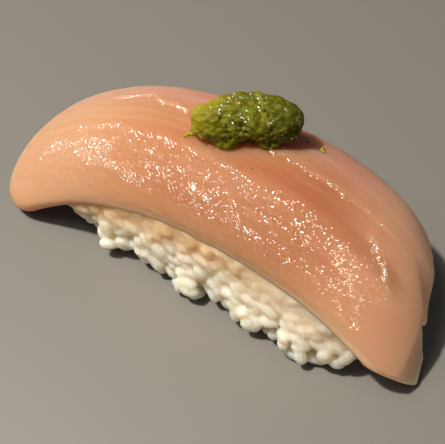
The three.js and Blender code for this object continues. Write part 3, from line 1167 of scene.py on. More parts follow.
@dataclass(frozen=True)
class RawFish:
    """Wet raw fish: soft muscle bands that light soaks into, under a wet coat of tiny beads of water.

    The shares say how strong each coat of colour is. Some coats are painted light: a paler low end, pale
    bevels and a lighter rim lift places that face away from the key light, and the beads' base is painted
    paler so that they show as pale specks. Dry and wet are the roughness, the strength of mirror light and
    the index of refraction of the flesh and of the beads.
    """

    flesh: Colour = rgba(156, 112, 81)
    deep: Colour = rgba(138, 84, 57)
    pale: Colour = rgba(173, 148, 124)
    pink: Colour = rgba(159, 111, 97)
    # painted light: a pale tone that lifts the shaded bevels of the low end
    cut: Colour = rgba(214, 172, 143)
    # painted light: a pale tone that lifts the low end, which faces away from the key light
    painted_light_tail: Colour = rgba(204, 154, 122)
    # painted highlight: the pale tone that lightens the beads' base and the rim
    bead: Colour = rgba(240, 186, 146)
    glow: Triple = (14.0, 7.5, 5.0)
    deep_share: float = 0.4
    wave_share: float = 0.25
    band_share: float = 0.34
    pink_share: float = 0.8
    tip_share: float = 0.26
    vein_share: float = 0.45
    seam_share: float = 0.2
    slant: float = 40.0
    slant_share: float = 0.24
    patch_share: float = 0.58
    dry: Triple = (0.4, 0.06, 1.36)
    wet: Triple = (0.15, 1.0, 2.6)
    grit: Grit = Grit(1.8, 0.6, 0.00005)
    drops: Beads = Beads(cells=3.1, height=0.00024, fall=0.7, fall_spread=1.1)

    def colour(self, board: Board, flat: Field) -> Field:
        """Muscle colour: a deeper band along the middle, pale seams, a pink far side and fine fibres, with
        painted light on a paler low end, pale bevels and a lighter rim.

        Args:
            board: The material's node tree.
            flat: Places on the flat cut.

        Returns:
            The colour.
        """
        along, across, _ = board.axes(flat)
        wave = board.fibres(flat, (0.03, 0.3), 2.0, 0.5).ramp(0.42, 0.66)
        middle = along.ramp(-36.0, -10.0) * along.ramp(44.0, 26.0) * across.ramp(-15.0, -9.0, 0.05, 1.0)
        band = across.ramp(-5.0, -1.5) * across.ramp(2.4, 1.2) * along.ramp(-6.0, 18.0)
        vein = across.ramp(-5.5, -3.6) * across.ramp(-1.0, -2.6)
        vein = vein * along.ramp(16.0, 24.0) * along.ramp(40.0, 33.0)
        threads = board.fibres(flat, (0.1, 1.8), 3.0, 0.6).ramp(0.5, 0.74)
        slanted = board.fibres(flat, (0.22, 2.4), 2.0, 0.55, self.slant).ramp(0.5, 0.75)
        return board.layered(
            self.flesh,
            ((wave * self.wave_share + band * self.band_share + self.deep_share) * middle, self.deep),
            (across.ramp(1.5, 8.0) * self.pink_share, self.pink),
            (along.ramp(-8.0, -44.0) * self.tip_share, self.pale),
            # painted light: a paler tone lifts the low end, which faces away from the key light
            (along.ramp(15.0, 38.0) * across.ramp(-12.0, 2.0, 0.6, 0.85), self.painted_light_tail),
            (vein * self.vein_share, self.deep),
            (board.attribute("pale_line") * self.seam_share, self.pale),
            (threads * across.ramp(-3.0, 3.0, 0.06, 0.25), self.pale),
            (slanted * across.ramp(-4.0, -10.0) * self.slant_share, self.pale),
            # painted light: the bevels of the low end are lifted with a pale tone, most on the near lobe
            (board.attribute("facet") * across.ramp(2.0, -4.0, 0.3, 0.8), self.cut),
            # painted light: the rim is lightened with the pale tone, less towards the high end
            (board.attribute("rim") * along.ramp(-34.0, -12.0, 0.12, 0.7), self.bead),
        )

    def beads(self, board: Board, flat: Field) -> tuple[Field, Field]:
        """The beads' normal, and where they are: in patches on the near side and along the streaks.

        Args:
            board: The material's node tree.
            flat: Places on the flat cut.

        Returns:
            The normal of the beads, and their share.
        """
        along, across, _ = board.axes(flat)
        streak = board.attribute("wet")
        steep = along.ramp(6.0, -38.0, 0.95, 1.3) + along.ramp(12.0, 34.0, 0.0, 0.45)
        steep = steep * (1.0 - streak * 0.35)
        patches = board.fibres(flat, (0.2, 0.5), 5.0, 0.75)
        near = across.ramp(-12.8, -10.5) * across.ramp(-3.0, -6.0, 0.02, 1.0)
        ends = along.ramp(-44.0, -30.0, 0.25, 1.25) * along.ramp(39.0, 30.0)
        scattered = patches.ramp(0.4, 0.7) * near * ends * self.patch_share
        streaky = streak * patches.ramp(0.25, 0.5, 0.35, 0.8)
        dome, share = self.drops.lay(board, flat, scattered + streaky, steep)
        return dome, share * board.attribute("upper")

    def material(self) -> bpy.types.Material:
        """Makes the material. All patterns lie on the flat cut, in millimetres.

        Returns:
            The material.
        """
        board = Board(Slot.RAW_FISH.value)
        flat = board.uv("flat_cut")
        colour = self.colour(board, flat)
        # painted highlight: the beads' base is lightened, most towards the low end, so beads show as pale
        # specks where no glint falls
        milky = board.blend(board.axes(flat)[0].ramp(8.0, 30.0, 0.3, 0.9), colour, self.bead)
        dome, share = self.beads(board, flat)
        body = board.principled(soaked(colour, self.glow) | polish(*self.dry, self.grit.lay(board, flat)))
        bead = board.principled(soaked(milky, self.glow) | polish(*self.wet, dome))
        return board.beaded(body, bead, share)


# --- The rice block ---


@dataclass(frozen=True)
class Grain:
    """A grain that leans out from the foot: its middle, heading and tilt in degrees."""

    x: float
    y: float
    z: float
    heading: float
    tilt: float = 10.0


@dataclass
class RiceHeap:
    """A pressed heap of cooked grains: a core under the slice, with grains packed on its wall.

    The bays say how far the near wall stands out at places along it. Scatters are half ranges: of a grain's
    place in shares of a step, of its turn in degrees, and of its size.
    """

    slab: FishSlice
    middle_x: float = 2.8
    length: float = 66.2
    width: float = 23.4
    foot_skew: float = -0.035
    foot_squareness: float = 8.0
    roof_squareness: float = 12.0
    reach_low: float = 31.0
    reach_high: float = 37.0
    reach_side: float = 14.4
    bulge: float = 0.3
    brow: float = 2.3
    brow_height: float = 3.2
    brow_far: float = 0.25
    undercut: float = 1.0
    undercut_height: float = 2.8
    bays: tuple[Pair, ...] = (
        (-30.0, -4.0), (-27.5, -3.8), (-25.5, -3.4), (-23.5, -3.0), (-21.6, -2.2), (-20.0, 0.0),
        (-18.0, 1.8), (-16.0, 0.2), (-14.0, -1.2), (-12.0, -1.1), (-10.0, -0.5), (-8.0, -0.2),
        (-6.0, 0.2), (-4.0, -2.3), (-2.0, 0.3), (0.0, 1.0), (2.0, 1.0), (4.0, -2.2), (6.0, -2.0),
        (8.0, -0.2), (10.0, -1.5), (12.0, 0.4), (14.0, 1.7), (16.0, 0.2), (18.0, 0.6), (20.0, -0.4),
        (22.0, -2.2), (24.0, 1.6), (26.0, 1.9), (28.0, -0.2), (30.0, -0.8), (34.0, -1.0),
    )
    bay_height: float = 11.0
    near_sharpness: float = 3.0
    near_from: float = -0.3
    angle_steps: int = 1441
    core_insets: Pair = (1.1, 0.1)
    core_around: int = 240
    core_levels: int = 30
    inset_rise: float = 1.6
    grain_size: Triple = (4.1, 2.9, 2.5)
    per_row: int = 50
    row_height: float = 2.1
    rows: int = 9
    row_start: float = 0.6
    lowest: float = 1.35
    highest: float = 0.92
    open_bay: float = -0.6
    place_scatter: Pair = (0.38, 0.34)
    turn_scatter: float = 88.0
    lean_scatter: float = 0.4
    size_scatter: Pair = (0.15, 0.12)
    probe: float = 0.01
    stand: float = 0.05
    stand_scatter: float = 0.4
    sink: float = 0.68
    sink_from: float = 3.5
    sink_over: float = 8.0
    leaning: tuple[Grain, ...] = (
        Grain(-18.9, -12.0, 1.9, 150.0, 20.0),
        Grain(-17.9, -12.0, 1.3, 40.0),
        Grain(-16.8, -11.16, 1.4, 10.0),
        Grain(-0.4, -11.9, 1.5, 160.0),
        Grain(13.2, -12.2, 1.9, 150.0, 15.0),
        Grain(15.0, -11.9, 1.3, 150.0),
        Grain(24.4, -13.5, 1.2, 130.0),
        Grain(26.0, -12.8, 1.3, 60.0),
    )
    leaning_scale: float = 0.95
    leaning_up: Triple = (0.0, -0.5, 0.85)
    leaning_seed: float = 900.0
    voxel: float = 0.26
    thinning: float = 0.5
    fewest_points: int = 1000
    press_depth: float = 11.0
    press_share: float = 0.8
    edge_reach: Pair = (1.7, 1.5)
    edge_steps: int = 80
    soft_rounds: int = 12
    soft_least: float = 0.14
    soft_curve: Pair = (2.2, 0.65)
    # painted shade and glow: how the orange tone rises towards the slice and fades towards +X
    shade_and_glow_curve: Pair = (1.5, 0.1)
    shade_and_glow_less: float = 0.65
    shade_and_glow_span: float = 30.0

    def rounded_square(self, angle: Array, power: float) -> tuple[Array, Array]:
        """Points of a superellipse of unit half sides, in the direction of each angle.

        Args:
            angle: Directions about the middle of the heap, in radians.
            power: How square it is, from 2 for an ellipse.

        Returns:
            The two coordinates.
        """
        cosine, sine = np.cos(angle), np.sin(angle)
        radius = (np.abs(cosine) ** power + np.abs(sine) ** power) ** (-1.0 / power)
        return cosine * radius, sine * radius

    def wall_foot(self, angle: Array) -> Array:
        """The bottom of the wall, before the foot draws in.

        Args:
            angle: Directions about the middle of the heap, in radians.

        Returns:
            Points in millimetres.
        """
        x, y = self.rounded_square(angle, self.foot_squareness)
        along, level = x * self.length / 2, np.zeros_like(angle)
        across = y * self.width / 2 + self.foot_skew * along
        return np.stack([self.middle_x + along, self.slab.crest[1] + across, level], -1)

    def angle_at(self, share: Array) -> Array:
        """The angle a share of the way round, so that even shares are even steps along the foot.

        Args:
            share: Shares of the way round.

        Returns:
            Angles in radians.
        """
        angles = np.linspace(0.0, 2.0 * math.pi, self.angle_steps)
        steps = np.linalg.norm(np.diff(self.wall_foot(angles), axis=0), axis=1)
        walked = np.concatenate([[0.0], np.cumsum(steps)])
        return np.interp(np.mod(share, 1.0) * walked[-1], walked, angles)

    def outward(self, angle: Array) -> Array:
        """The level direction straight out of the wall.

        Args:
            angle: Directions about the middle of the heap, in radians.

        Returns:
            Unit vectors.
        """
        x, y = self.rounded_square(angle, self.foot_squareness)
        power = self.foot_squareness - 1.0
        steep_x = np.sign(x) * np.abs(x) ** power * self.width
        steep_y = np.sign(y) * np.abs(y) ** power * self.length
        return unit(np.stack([steep_x, steep_y, np.zeros_like(x)], -1))

    def roof(self, angle: Array, share: float = 1.0) -> Array:
        """The roof of the core on the middle surface of the slice, a share of the way out.

        Args:
            angle: Directions about the middle of the heap, in radians.
            share: The share of the way out from the middle.

        Returns:
            Points in millimetres.
        """
        x, y = self.rounded_square(angle, self.roof_squareness)
        along = x * np.where(x > 0.0, self.reach_low, self.reach_high) * share
        return self.slab.middle(along, y * self.reach_side * share)

    def bay(self, x: Array) -> Array:
        """How far the near wall stands out at places along X."""
        return np.interp(x, *np.array(self.bays).T)

    def wall(self, angle: Array, level: Array) -> Array:
        """The bare wall, from level 0 at the foot to level 1 at the roof.

        It runs straight from foot to roof, swells half way up, stands out above its foot, most of all on the
        near side, and draws in under it. On the near side it runs in and out in bays.

        Args:
            angle: Directions about the middle of the heap, in radians.
            level: Share of the way up.

        Returns:
            Points in millimetres.
        """
        foot, top = self.wall_foot(angle), self.roof(angle)
        wall = foot + (top - foot) * level[..., None]
        height = wall[..., 2]
        near = smooth_step(-np.sin(angle) * self.near_sharpness)
        swell = self.bulge * np.sin(math.pi * level)
        swell = swell - self.undercut * np.maximum(0.0, 1.0 - height / self.undercut_height) ** 2
        brow = self.brow * (self.brow_far + (1.0 - self.brow_far) * near)
        swell += brow * smooth_step(height / self.brow_height)
        swell += self.bay(foot[..., 0]) * near * smooth_step(1.0 - height / self.bay_height)
        return wall + self.outward(angle) * swell[..., None]

    def core(self) -> Surface:
        """The core as a closed surface, drawn in from the wall by an inset at its foot and one at its roof.

        Rows of points run from the middle of the foot, up the wall and over the roof to its middle.

        Returns:
            The core.
        """
        around, (foot_inset, roof_inset) = self.core_around, self.core_insets
        angle = self.angle_at(np.arange(around) / around)
        middle = np.broadcast_to(np.array([self.middle_x, self.slab.crest[1], 0.0]), (around, 3))
        levels = np.linspace(0.0, 1.0, self.core_levels)
        insets = foot_inset + (roof_inset - foot_inset) * smooth_step(levels * self.inset_rise)
        walls = [self.wall(angle, np.full(around, level)) for level in levels]
        walls = [wall - self.outward(angle) * inset for wall, inset in zip(walls, insets)]
        foot = [(walls[0] + (middle - walls[0]) * share) * [1, 1, 0] for share in (0.66, 0.33)]
        roof = [self.roof(angle, share) for share in (0.75, 0.5, 0.25)]
        peak = np.broadcast_to(self.slab.middle(np.zeros(1), np.zeros(1)), (around, 3))
        rings = np.stack([middle, *foot, *walls, *roof, peak])
        return Surface(rings.reshape(-1, 3), ball_quads(len(rings) - 1, around))

    def packed_grains(self) -> Surface:
        """Grains in staggered rows on the wall, scattered in place, turn and size.

        The foot rows stand out and wander in and out along the wall, and leave the deepest bays open. Higher
        up they lie deeper in the core.

        Returns:
            The grains.
        """
        number = np.arange(self.rows * self.per_row)
        row, column = np.divmod(number, self.per_row)
        share = (column + 0.5 * (row % 2) + self.place_scatter[0] * scatter(number, 1)) / self.per_row
        angle = self.angle_at(share)
        height = (row + self.row_start + self.place_scatter[1] * scatter(number, 2)) * self.row_height
        level = height / self.roof(angle)[:, 2]
        filled = (row > 0) | (self.bay(self.wall_foot(angle)[:, 0]) > self.open_bay)
        shown = (level < self.highest) & (filled | (np.sin(angle) > self.near_from))
        angle, level, number = angle[shown], level[shown], number[shown]
        centre = self.wall(angle, level)
        around = unit(self.wall(angle + self.probe, level) - centre)
        upward = unit(self.wall(angle, level + self.probe) - centre)
        out = unit(np.cross(around, upward))
        turn = np.radians(self.turn_scatter * scatter(number, 3))
        heading = around * np.cos(turn)[:, None] + upward * np.sin(turn)[:, None]
        heading = unit(heading + out * (self.lean_scatter * scatter(number, 5))[:, None])
        sunk = self.sink * smooth_step((centre[:, 2] - self.sink_from) / self.sink_over)
        centre = centre + out * (self.stand + self.stand_scatter * scatter(number, 6) - sunk)[:, None]
        centre[:, 2] = np.maximum(centre[:, 2], self.lowest)
        scale = 1.0 + self.size_scatter[0] * scatter(number, 4)
        scales = np.stack([scale, 1.0 + self.size_scatter[1] * scatter(number, 7), scale**0.5], -1)
        return Oval().bodies(centre, heading, out, np.array(self.grain_size) * scales, number.astype(float))

    def leaning_grains(self) -> Surface:
        """The grains that lean out from the near side of the foot.

        Returns:
            The grains.
        """
        centres = np.array([[grain.x, grain.y, grain.z] for grain in self.leaning])
        heading, tilt = np.radians([[grain.heading, grain.tilt] for grain in self.leaning]).T
        level = np.cos(tilt)
        directions = np.stack([np.cos(heading) * level, np.sin(heading) * level, np.sin(tilt)], -1)
        up = np.broadcast_to(np.array(self.leaning_up), centres.shape)
        sizes = np.broadcast_to(np.array(self.grain_size) * self.leaning_scale, centres.shape)
        return Oval().bodies(centres, directions, up, sizes, np.arange(len(centres)) + self.leaning_seed)

    def roof_height(self, x: Array) -> Array:
        """Height of the slice's middle surface above the side wall, along the heap.

        Args:
            x: Places along X.

        Returns:
            Heights in millimetres.
        """
        high, low = self.edge_reach
        along = np.linspace(-self.slab.width * high, self.slab.width * low, self.edge_steps)
        edge = self.slab.middle(along, np.full(along.shape, -self.reach_side))
        return np.interp(x, edge[:, 0], edge[:, 2])

    def build(self) -> Piece:
        """Makes the heap as one skin, softer towards the slice that presses on it, where a painted shade and
        orange glow darken and warm it.

        Both follow how near a point is to the slice: 1 at the roof and 0 at the press depth under it.

        Returns:
            The heap.
        """
        whole = Surface.join([self.core(), self.packed_grains(), self.leaning_grains()])
        whole.points[:, 2] = np.maximum(whole.points[:, 2], 0.0)
        piece = make_object("rice_heap", whole)
        fuse(piece, self.voxel, 1, self.thinning)
        keep_main_shells(piece, self.fewest_points)
        points = point_array(piece)
        roof = self.roof_height(points[:, 0])
        under = 1.0 - (roof - points[:, 2]) / np.minimum(self.press_depth, self.press_share * roof)
        under = np.clip(under, 0.0, 1.0)
        softness = smooth_step(under * self.soft_curve[0] - self.soft_curve[1])
        soften(piece, np.maximum(softness, self.soft_least), self.soft_rounds)
        # painted shade and glow: orange and darker near the slice's rim, less towards +X
        shade_and_glow = 1.0 - self.shade_and_glow_less * smooth_step(points[:, 0] / self.shade_and_glow_span)
        shade_and_glow = shade_and_glow * smooth_step(under * self.shade_and_glow_curve[0] - self.shade_and_glow_curve[1])
        set_attribute(piece, "under_slice", shade_and_glow)
        return piece

    def dress(self) -> Piece:
        """Builds the heap, gives it its finish and sets it in the frame."""
        return settle(self.build(), CookedRice().material(), Slot.COOKED_RICE, "rice_block")


@dataclass(frozen=True)
class CookedRice:
    """Sticky cooked rice: milky grains that light soaks into, with a moist glitter where they lie open, a
    painted shade and orange glow under the slice and painted pale bases under the beads.
    """

    grain: Colour = rgba(215, 204, 181)
    milky: Colour = rgba(206, 190, 161)
    # painted shade and glow: the orange, darker tone under the slice
    painted_shade_and_glow: Colour = rgba(205, 158, 109)
    # painted highlight: a pale tone that lightens the beads' base
    painted_glint_base: Colour = rgba(250, 236, 208)
    glow: Triple = (10.0, 8.0, 5.5)
    milky_share: float = 0.4
    painted_shade_and_glow_share: float = 0.85
    # painted highlight: share of the pale tone in the beads' base
    painted_glint_share: float = 0.6
    dry: Triple = (0.5, 0.25, 1.4)
    wet: Triple = (0.13, 1.0, 1.9)
    grit: Grit = Grit(1300.0, 0.65, 0.00012)
    patches: Patches = Patches(420.0, (0.44, 0.62), 0.5)
    drops: Beads = Beads(cells=2000.0, height=0.00017, fall=0.5, fall_spread=0.8)

    def material(self) -> bpy.types.Material:
        """Makes the material on object coordinates.

        Returns:
            The material.
        """
        board = Board(Slot.COOKED_RICE.value)
        place = board.place()
        # painted shade and glow under the slice; beads are kept out of it
        painted_shade_and_glow_mask = board.attribute("under_slice") * self.painted_shade_and_glow_share
        mottle = board.noise(place, 330.0, 2.0, 0.5).ramp(0.4, 0.7)
        colour = board.layered(self.grain, (mottle * self.milky_share, self.milky), (painted_shade_and_glow_mask, self.painted_shade_and_glow))
        # painted highlight: the beads' base is lightened so that they show as pale specks
        painted_glint_base = board.blend(self.painted_glint_share, colour, self.painted_glint_base)
        dome, share = self.drops.lay(board, place, self.patches.lay(board, place) * (1.0 - painted_shade_and_glow_mask))
        body = board.principled(soaked(colour, self.glow) | polish(*self.dry, self.grit.lay(board, place)))
        bead = board.principled(soaked(painted_glint_base, self.glow) | polish(*self.wet, dome))
        return board.beaded(body, bead, share)


# --- The green dollop ---


@dataclass(frozen=True)
class Boss:
    """Where the dollop stands out, or draws in: a direction, a reach as a share of its size and a spread.

    Lengthwise the spread is narrowed by a factor.
    """

    towards: Triple
    reach: float
    spread: float
    narrow: float = 1.0

    def stand(self, p: Array) -> Array:
        """How far the boss stands out for directions from the middle, as a bell about its own direction.

        Args:
            p: Directions of length 1.

        Returns:
            The reach at each, as a share of the size.
        """
        away = (p - unit(np.array(self.towards))) / [self.narrow, 1.0, 1.0]
        far = np.linalg.norm(away, axis=-1) / self.spread
        return self.reach * np.exp(-far * far)


@dataclass(frozen=True)
class Crease:
    """Folds in the dollop along the middle lines of a noise: how deep, how sharp, how fine, and its seed."""

    depth: float
    sharpness: float
    fineness: float
    seed: int

    def at(self, points: Array) -> Array:
        """Depth of the folds: full where the noise is zero, falling off to both sides."""
        return self.depth * np.exp(-self.sharpness * np.abs(value_noise(points * self.fineness, self.seed)))


@dataclass(frozen=True)
class Bits:
    """A kind of scrap in the dollop's skin: how many, their mean size and how deep their middles lie."""

    count: int
    size: Triple
    depth: float


@dataclass
class GreenDollop:
    """Coarse grated paste: an oblong lump on two toes, built of crumbs and strands fused to a ragged skin."""

    slab: FishSlice
    length: float = 20.1
    width: float = 9.2
    height: float = 9.3
    middle_x: float = 2.393
    middle_y: float = 3.988
    middle_up: float = 3.25
    heading: float = 32.0
    broadening: float = 0.12
    blunt_left: float = 0.58
    flat_left: float = 1.14
    blunt_right: float = 0.73
    ripple: float = 0.045
    bosses: tuple[Boss, ...] = (
        Boss((-0.13, -0.8, -0.57), 0.26, 0.22, 0.55),
        Boss((0.015, -0.84, -0.54), -0.5, 0.32, 0.2),
        Boss((0.25, -0.75, -0.6), 0.25, 0.22, 0.6),
        Boss((-0.6, 0.45, 0.6), -0.17, 0.4),
        Boss((-0.1, 0.4, 0.9), 0.15, 0.35),
        Boss((0.85, -0.3, -0.4), 0.03, 0.4),
    )
    creases: tuple[Crease, ...] = (Crease(1.0, 4.0, 0.42, 41), Crease(0.45, 3.0, 0.95, 42))
    crumbs: Bits = Bits(1500, (0.8, 0.7, 0.6), 0.5)
    strands: Bits = Bits(110, (1.9, 0.5, 0.45), 0.35)
    lumps: Bits = Bits(60, (1.7, 1.1, 0.8), 0.5)
    seed: int = 11
    seed_step: float = 50.0
    depth_scatter: float = 0.35
    probe: float = 1.5
    lean: float = 0.3
    size_range: Pair = (0.6, 1.45)
    side_range: Pair = (0.75, 1.3)
    bits_bend: float = 0.5
    rings: int = 130
    around: int = 170
    voxel: float = 0.17

    def relief(self, p: Array) -> Array:
        """How far the skin stands out in ripples and bosses, for directions from the middle.

        Args:
            p: Directions of length 1.

        Returns:
            How far, as a share of the size.
        """
        x, y, z = p[..., 0], p[..., 1], p[..., 2]
        waves = np.sin(5.1 * x + 1.7 * y + 0.6) * np.cos(4.3 * y - 2.2 * z)
        waves = waves + 0.7 * np.sin(7.7 * z + 3.1 * x + 2.1) * np.cos(6.1 * x - 1.9 * y + 0.4)
        return self.ripple * waves + sum(boss.stand(p) for boss in self.bosses)

    def skin(self, directions: Array, depth: float) -> Array:
        """Points of the dollop's form, a depth in millimetres under its outer skin.

        The form is a ball with ripples and bosses, squared off lengthwise and broader towards one end,
        turned to its heading and seated on the slice.

        Args:
            directions: Directions from the middle, of any length.
            depth: How deep.

        Returns:
            Points in millimetres.
        """
        p = unit(directions)
        left = p[..., 0] < 0.0
        stand = 1.0 + self.relief(p)
        girth = stand * (1.0 + self.broadening * p[..., 0])
        bluntness = np.where(left, self.blunt_left, self.blunt_right)
        endwise = np.sign(p[..., 0]) * np.abs(p[..., 0]) ** bluntness
        endwise = np.maximum(endwise * np.where(left, self.flat_left, 1.0), -1.0)
        half = [size / 2.0 - depth for size in (self.length, self.width, self.height)]
        along = endwise * stand * half[0]
        across, up = (p[..., axis] * girth * half[axis] for axis in (1, 2))
        turn = math.radians(self.heading)
        x = along * math.cos(turn) - across * math.sin(turn) + self.middle_x
        y = along * math.sin(turn) + across * math.cos(turn) + self.middle_y
        crest_x, crest_y, _ = self.slab.crest
        seat = self.slab.middle(np.array([self.middle_x - crest_x]), np.array([self.middle_y - crest_y]))
        return np.stack([x, y, up + seat[0, 2] + self.slab.thickness / 2.0 + self.middle_up], -1)

    def scraps(self, rng: np.random.Generator, bits: Bits) -> Surface:
        """Scraps of one kind scattered over the skin and lying nearly flat on it.

        Args:
            rng: Seeded source of the scatter.
            bits: Which kind.

        Returns:
            The joined surface.
        """
        count = bits.count
        directions = unit(rng.normal(size=(count, 3)))
        centres = self.skin(directions, bits.depth + self.depth_scatter * rng.random())
        outs = unit(centres - self.skin(directions, bits.depth + self.probe))
        flat = np.cross(outs, unit(rng.normal(size=(count, 3))))
        flat = unit(flat + self.lean * rng.normal(size=(count, 3)))
        sizes = np.array(bits.size) * rng.uniform(*self.size_range, (count, 1))
        sizes = sizes * rng.uniform(*self.side_range, (count, 3))
        seeds = np.arange(count) + self.seed_step * count
        return Oval(self.bits_bend).bodies(centres, flat, outs, sizes, seeds)

    def build(self) -> Piece:
        """Makes the dollop: a folded core, crumbs half sunk in it and strands that lie on it, all fused.

        Returns:
            The dollop.
        """
        ball = round_ball(self.rings, self.around)
        points = self.skin(ball, 0.0)
        inward = self.skin(ball, 1.0) - points
        folded = points + inward * sum(crease.at(points) for crease in self.creases)[:, None]
        rng = np.random.default_rng(self.seed)
        parts = [Surface(folded, ball_quads(self.rings, self.around))]
        parts += [self.scraps(rng, bits) for bits in (self.crumbs, self.strands, self.lumps)]
        piece = make_object("green_paste", Surface.join(parts))
        fuse(piece, self.voxel, 2)
        return piece

    def dress(self) -> Piece:
        """Builds the dollop, gives it its finish and sets it in the frame."""
        return settle(self.build(), GreenPaste().material(), Slot.GREEN_PASTE, "green_dollop")


@dataclass(frozen=True)
class Scrap:
    """A loose scrap of the paste: its place along and across the flat cut, its heading and its length."""

    along: float
    across: float
    heading: float
    length: float


@dataclass
class GreenCrumbs:
    """Loose scraps of the paste that lie on the slice about the dollop, half sunk in its wet skin."""

    slab: FishSlice
    scraps: tuple[Scrap, ...] = (
        Scrap(11.5, 8.4, 70.0, 1.4),
        Scrap(12.0, 8.1, 20.0, 1.0),
        Scrap(8.6, 8.2, 110.0, 0.7),
        Scrap(-8.3, -1.6, 10.0, 1.6),
        Scrap(-8.9, -2.1, 60.0, 1.2),
        Scrap(-8.2, -0.9, 100.0, 1.6),
        Scrap(-3.2, -2.2, 40.0, 0.6),
        Scrap(4.6, -2.6, 150.0, 0.5),
    )
    slenderness: float = 0.55
    bend: float = 0.4
    reach: float = 0.05
    first_seed: float = 300.0
    lift: float = 0.05
    voxel: float = 0.07
    thinning: float = 0.5

    def build(self) -> Piece:
        """Makes the scraps, each an oval body on the slice's upper face.

        Returns:
            The scraps.
        """
        rows = [(scrap.along, scrap.across, scrap.heading, scrap.length) for scrap in self.scraps]
        along, across, heading, length = np.array(rows).T
        turn = np.radians(heading)
        foot = self.slab.middle(along, across)
        lengthwise = unit(self.slab.middle(along + self.reach, across) - foot)
        crosswise = unit(self.slab.middle(along, across + self.reach) - foot)
        out = unit(np.cross(lengthwise, crosswise))
        lift = self.slab.thickness / 2.0 + self.slab.ridge_height(along, across) + self.lift * length
        flat = lengthwise * np.cos(turn)[:, None] + crosswise * np.sin(turn)[:, None]
        sizes = length[:, None] * np.array([1.0, self.slenderness, self.slenderness])
        seeds = np.arange(len(length)) + self.first_seed
        bodies = Oval(self.bend).bodies(foot + out * lift[:, None], flat, out, sizes, seeds)
        piece = make_object("green_crumbs", bodies)
        fuse(piece, self.voxel, 1, self.thinning)
        return piece

    def dress(self) -> Piece:
        """Builds the scraps, gives them the paste's finish and sets them in the frame."""
        return settle(self.build(), GreenPaste().material(), Slot.GREEN_PASTE)


@dataclass(frozen=True)
class GreenPaste:
    """Coarse wet paste: olive mottled with yellow-green, with bright wet points; painted light and shade make
    it paler towards -X and on the loose scraps and darker towards +X.
    """

    leaf: Colour = rgba(96, 98, 10)
    dark: Colour = rgba(44, 47, 2)
    light: Colour = rgba(142, 130, 26)
    glow: Triple = (2.0, 1.7, 0.3)
    glow_share: float = 0.8
    mottle_share: float = 0.8
    # painted shade and light: how much it darkens towards +X, lightens towards -X and lightens the loose
    # scraps
    painted_shade_share: float = 0.75
    painted_light_share: float = 0.6
    loose_painted_light_share: float = 0.7
    bright_share: float = 0.5
    # painted highlight: share of the light tone in the beads' base
    painted_glint_share: float = 0.2
    dry: Triple = (0.5, 0.15, 1.4)
    wet: Triple = (0.13, 1.0, 2.3)
    grit: Grit = Grit(1500.0, 0.6, 0.0002)
    patches: Patches = Patches(300.0, (0.48, 0.62), 0.42)
    drops: Beads = Beads(cells=2400.0, height=0.00023, fall=0.8, fall_spread=1.2, rim=0.55)

    def colour(self, board: Board, place: Field) -> Field:
        """Painted shade that darkens it towards +X, and painted light towards -X and again on the loose
        scraps beyond, over a random mottle.

        Args:
            board: The material's node tree.
            place: Object coordinates.

        Returns:
            The colour.
        """
        along, _, _ = board.axes(place)
        mottle = board.noise(place, 420.0, 3.0, 0.6)
        loose = along.ramp(0.0118, 0.0124)
        # painted light: lighter towards -X and on the loose scraps
        thin = along.ramp(0.001, -0.007) * self.painted_light_share + loose * self.loose_painted_light_share
        bright = mottle.ramp(0.54, 0.7) * self.bright_share
        return board.layered(
            self.leaf,
            (mottle.ramp(0.35, 0.65) * self.mottle_share, self.dark),
            # painted shade: darker towards +X, but not on the loose scraps
            (along.ramp(0.003, 0.011) * (self.painted_shade_share - loose * self.painted_shade_share), self.dark),
            (thin + bright - thin * bright, self.light),
        )

    def material(self) -> bpy.types.Material:
        """Makes the material on object coordinates.

        Returns:
            The material.
        """
        board = Board(Slot.GREEN_PASTE.value)
        place = board.place()
        colour = self.colour(board, place)
        # painted highlight: the beads' base is lightened so that they show as pale specks
        painted_glint_base = board.blend(self.painted_glint_share, colour, self.light)
        dome, share = self.drops.lay(board, place, self.patches.lay(board, place))
        pulp = soaked(colour, self.glow, self.glow_share)
        body = board.principled(pulp | polish(*self.dry, self.grit.lay(board, place)))
        bead = board.principled({"Base Color": painted_glint_base} | polish(*self.wet, dome))
        return board.beaded(body, bead, share)


# --- The frame and the studio ---


def settle(piece: Piece, material: bpy.types.Material, slot: Slot, *nodes: str) -> Piece:
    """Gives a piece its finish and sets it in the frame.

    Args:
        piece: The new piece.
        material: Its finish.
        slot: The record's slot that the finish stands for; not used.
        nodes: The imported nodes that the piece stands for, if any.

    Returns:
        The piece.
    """
    piece.data.materials.append(material)
    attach(piece, BODY)
    if nodes:
        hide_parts(*nodes)
    log.info("%s: %d points, %d faces", piece.name, len(piece.data.vertices), len(piece.data.polygons))
    return piece


@dataclass(frozen=True)
class AreaLight:
    """A round light that faces the middle of the piece. Lengths in millimetres, power in watts."""

    name: str
    direction: Triple
    distance: float
    size: float
    power: float
    colour: Triple

    def add(self, aim: Triple) -> None:
        """Adds the light, turned to a place.

        Args:
            aim: The place, in millimetres.
        """
        data = bpy.data.lights.new(self.name, "AREA")
        data.shape = "DISK"
        data.size = self.size * MM
        data.energy = self.power
        data.color = self.colour
        light = bpy.data.objects.new(self.name, data)
        towards = Vector(self.direction).normalized()
        light.location = (Vector(aim) + towards * self.distance) * MM
        light.rotation_euler = towards.to_track_quat("Z", "Y").to_euler()
        bpy.context.scene.collection.objects.link(light)


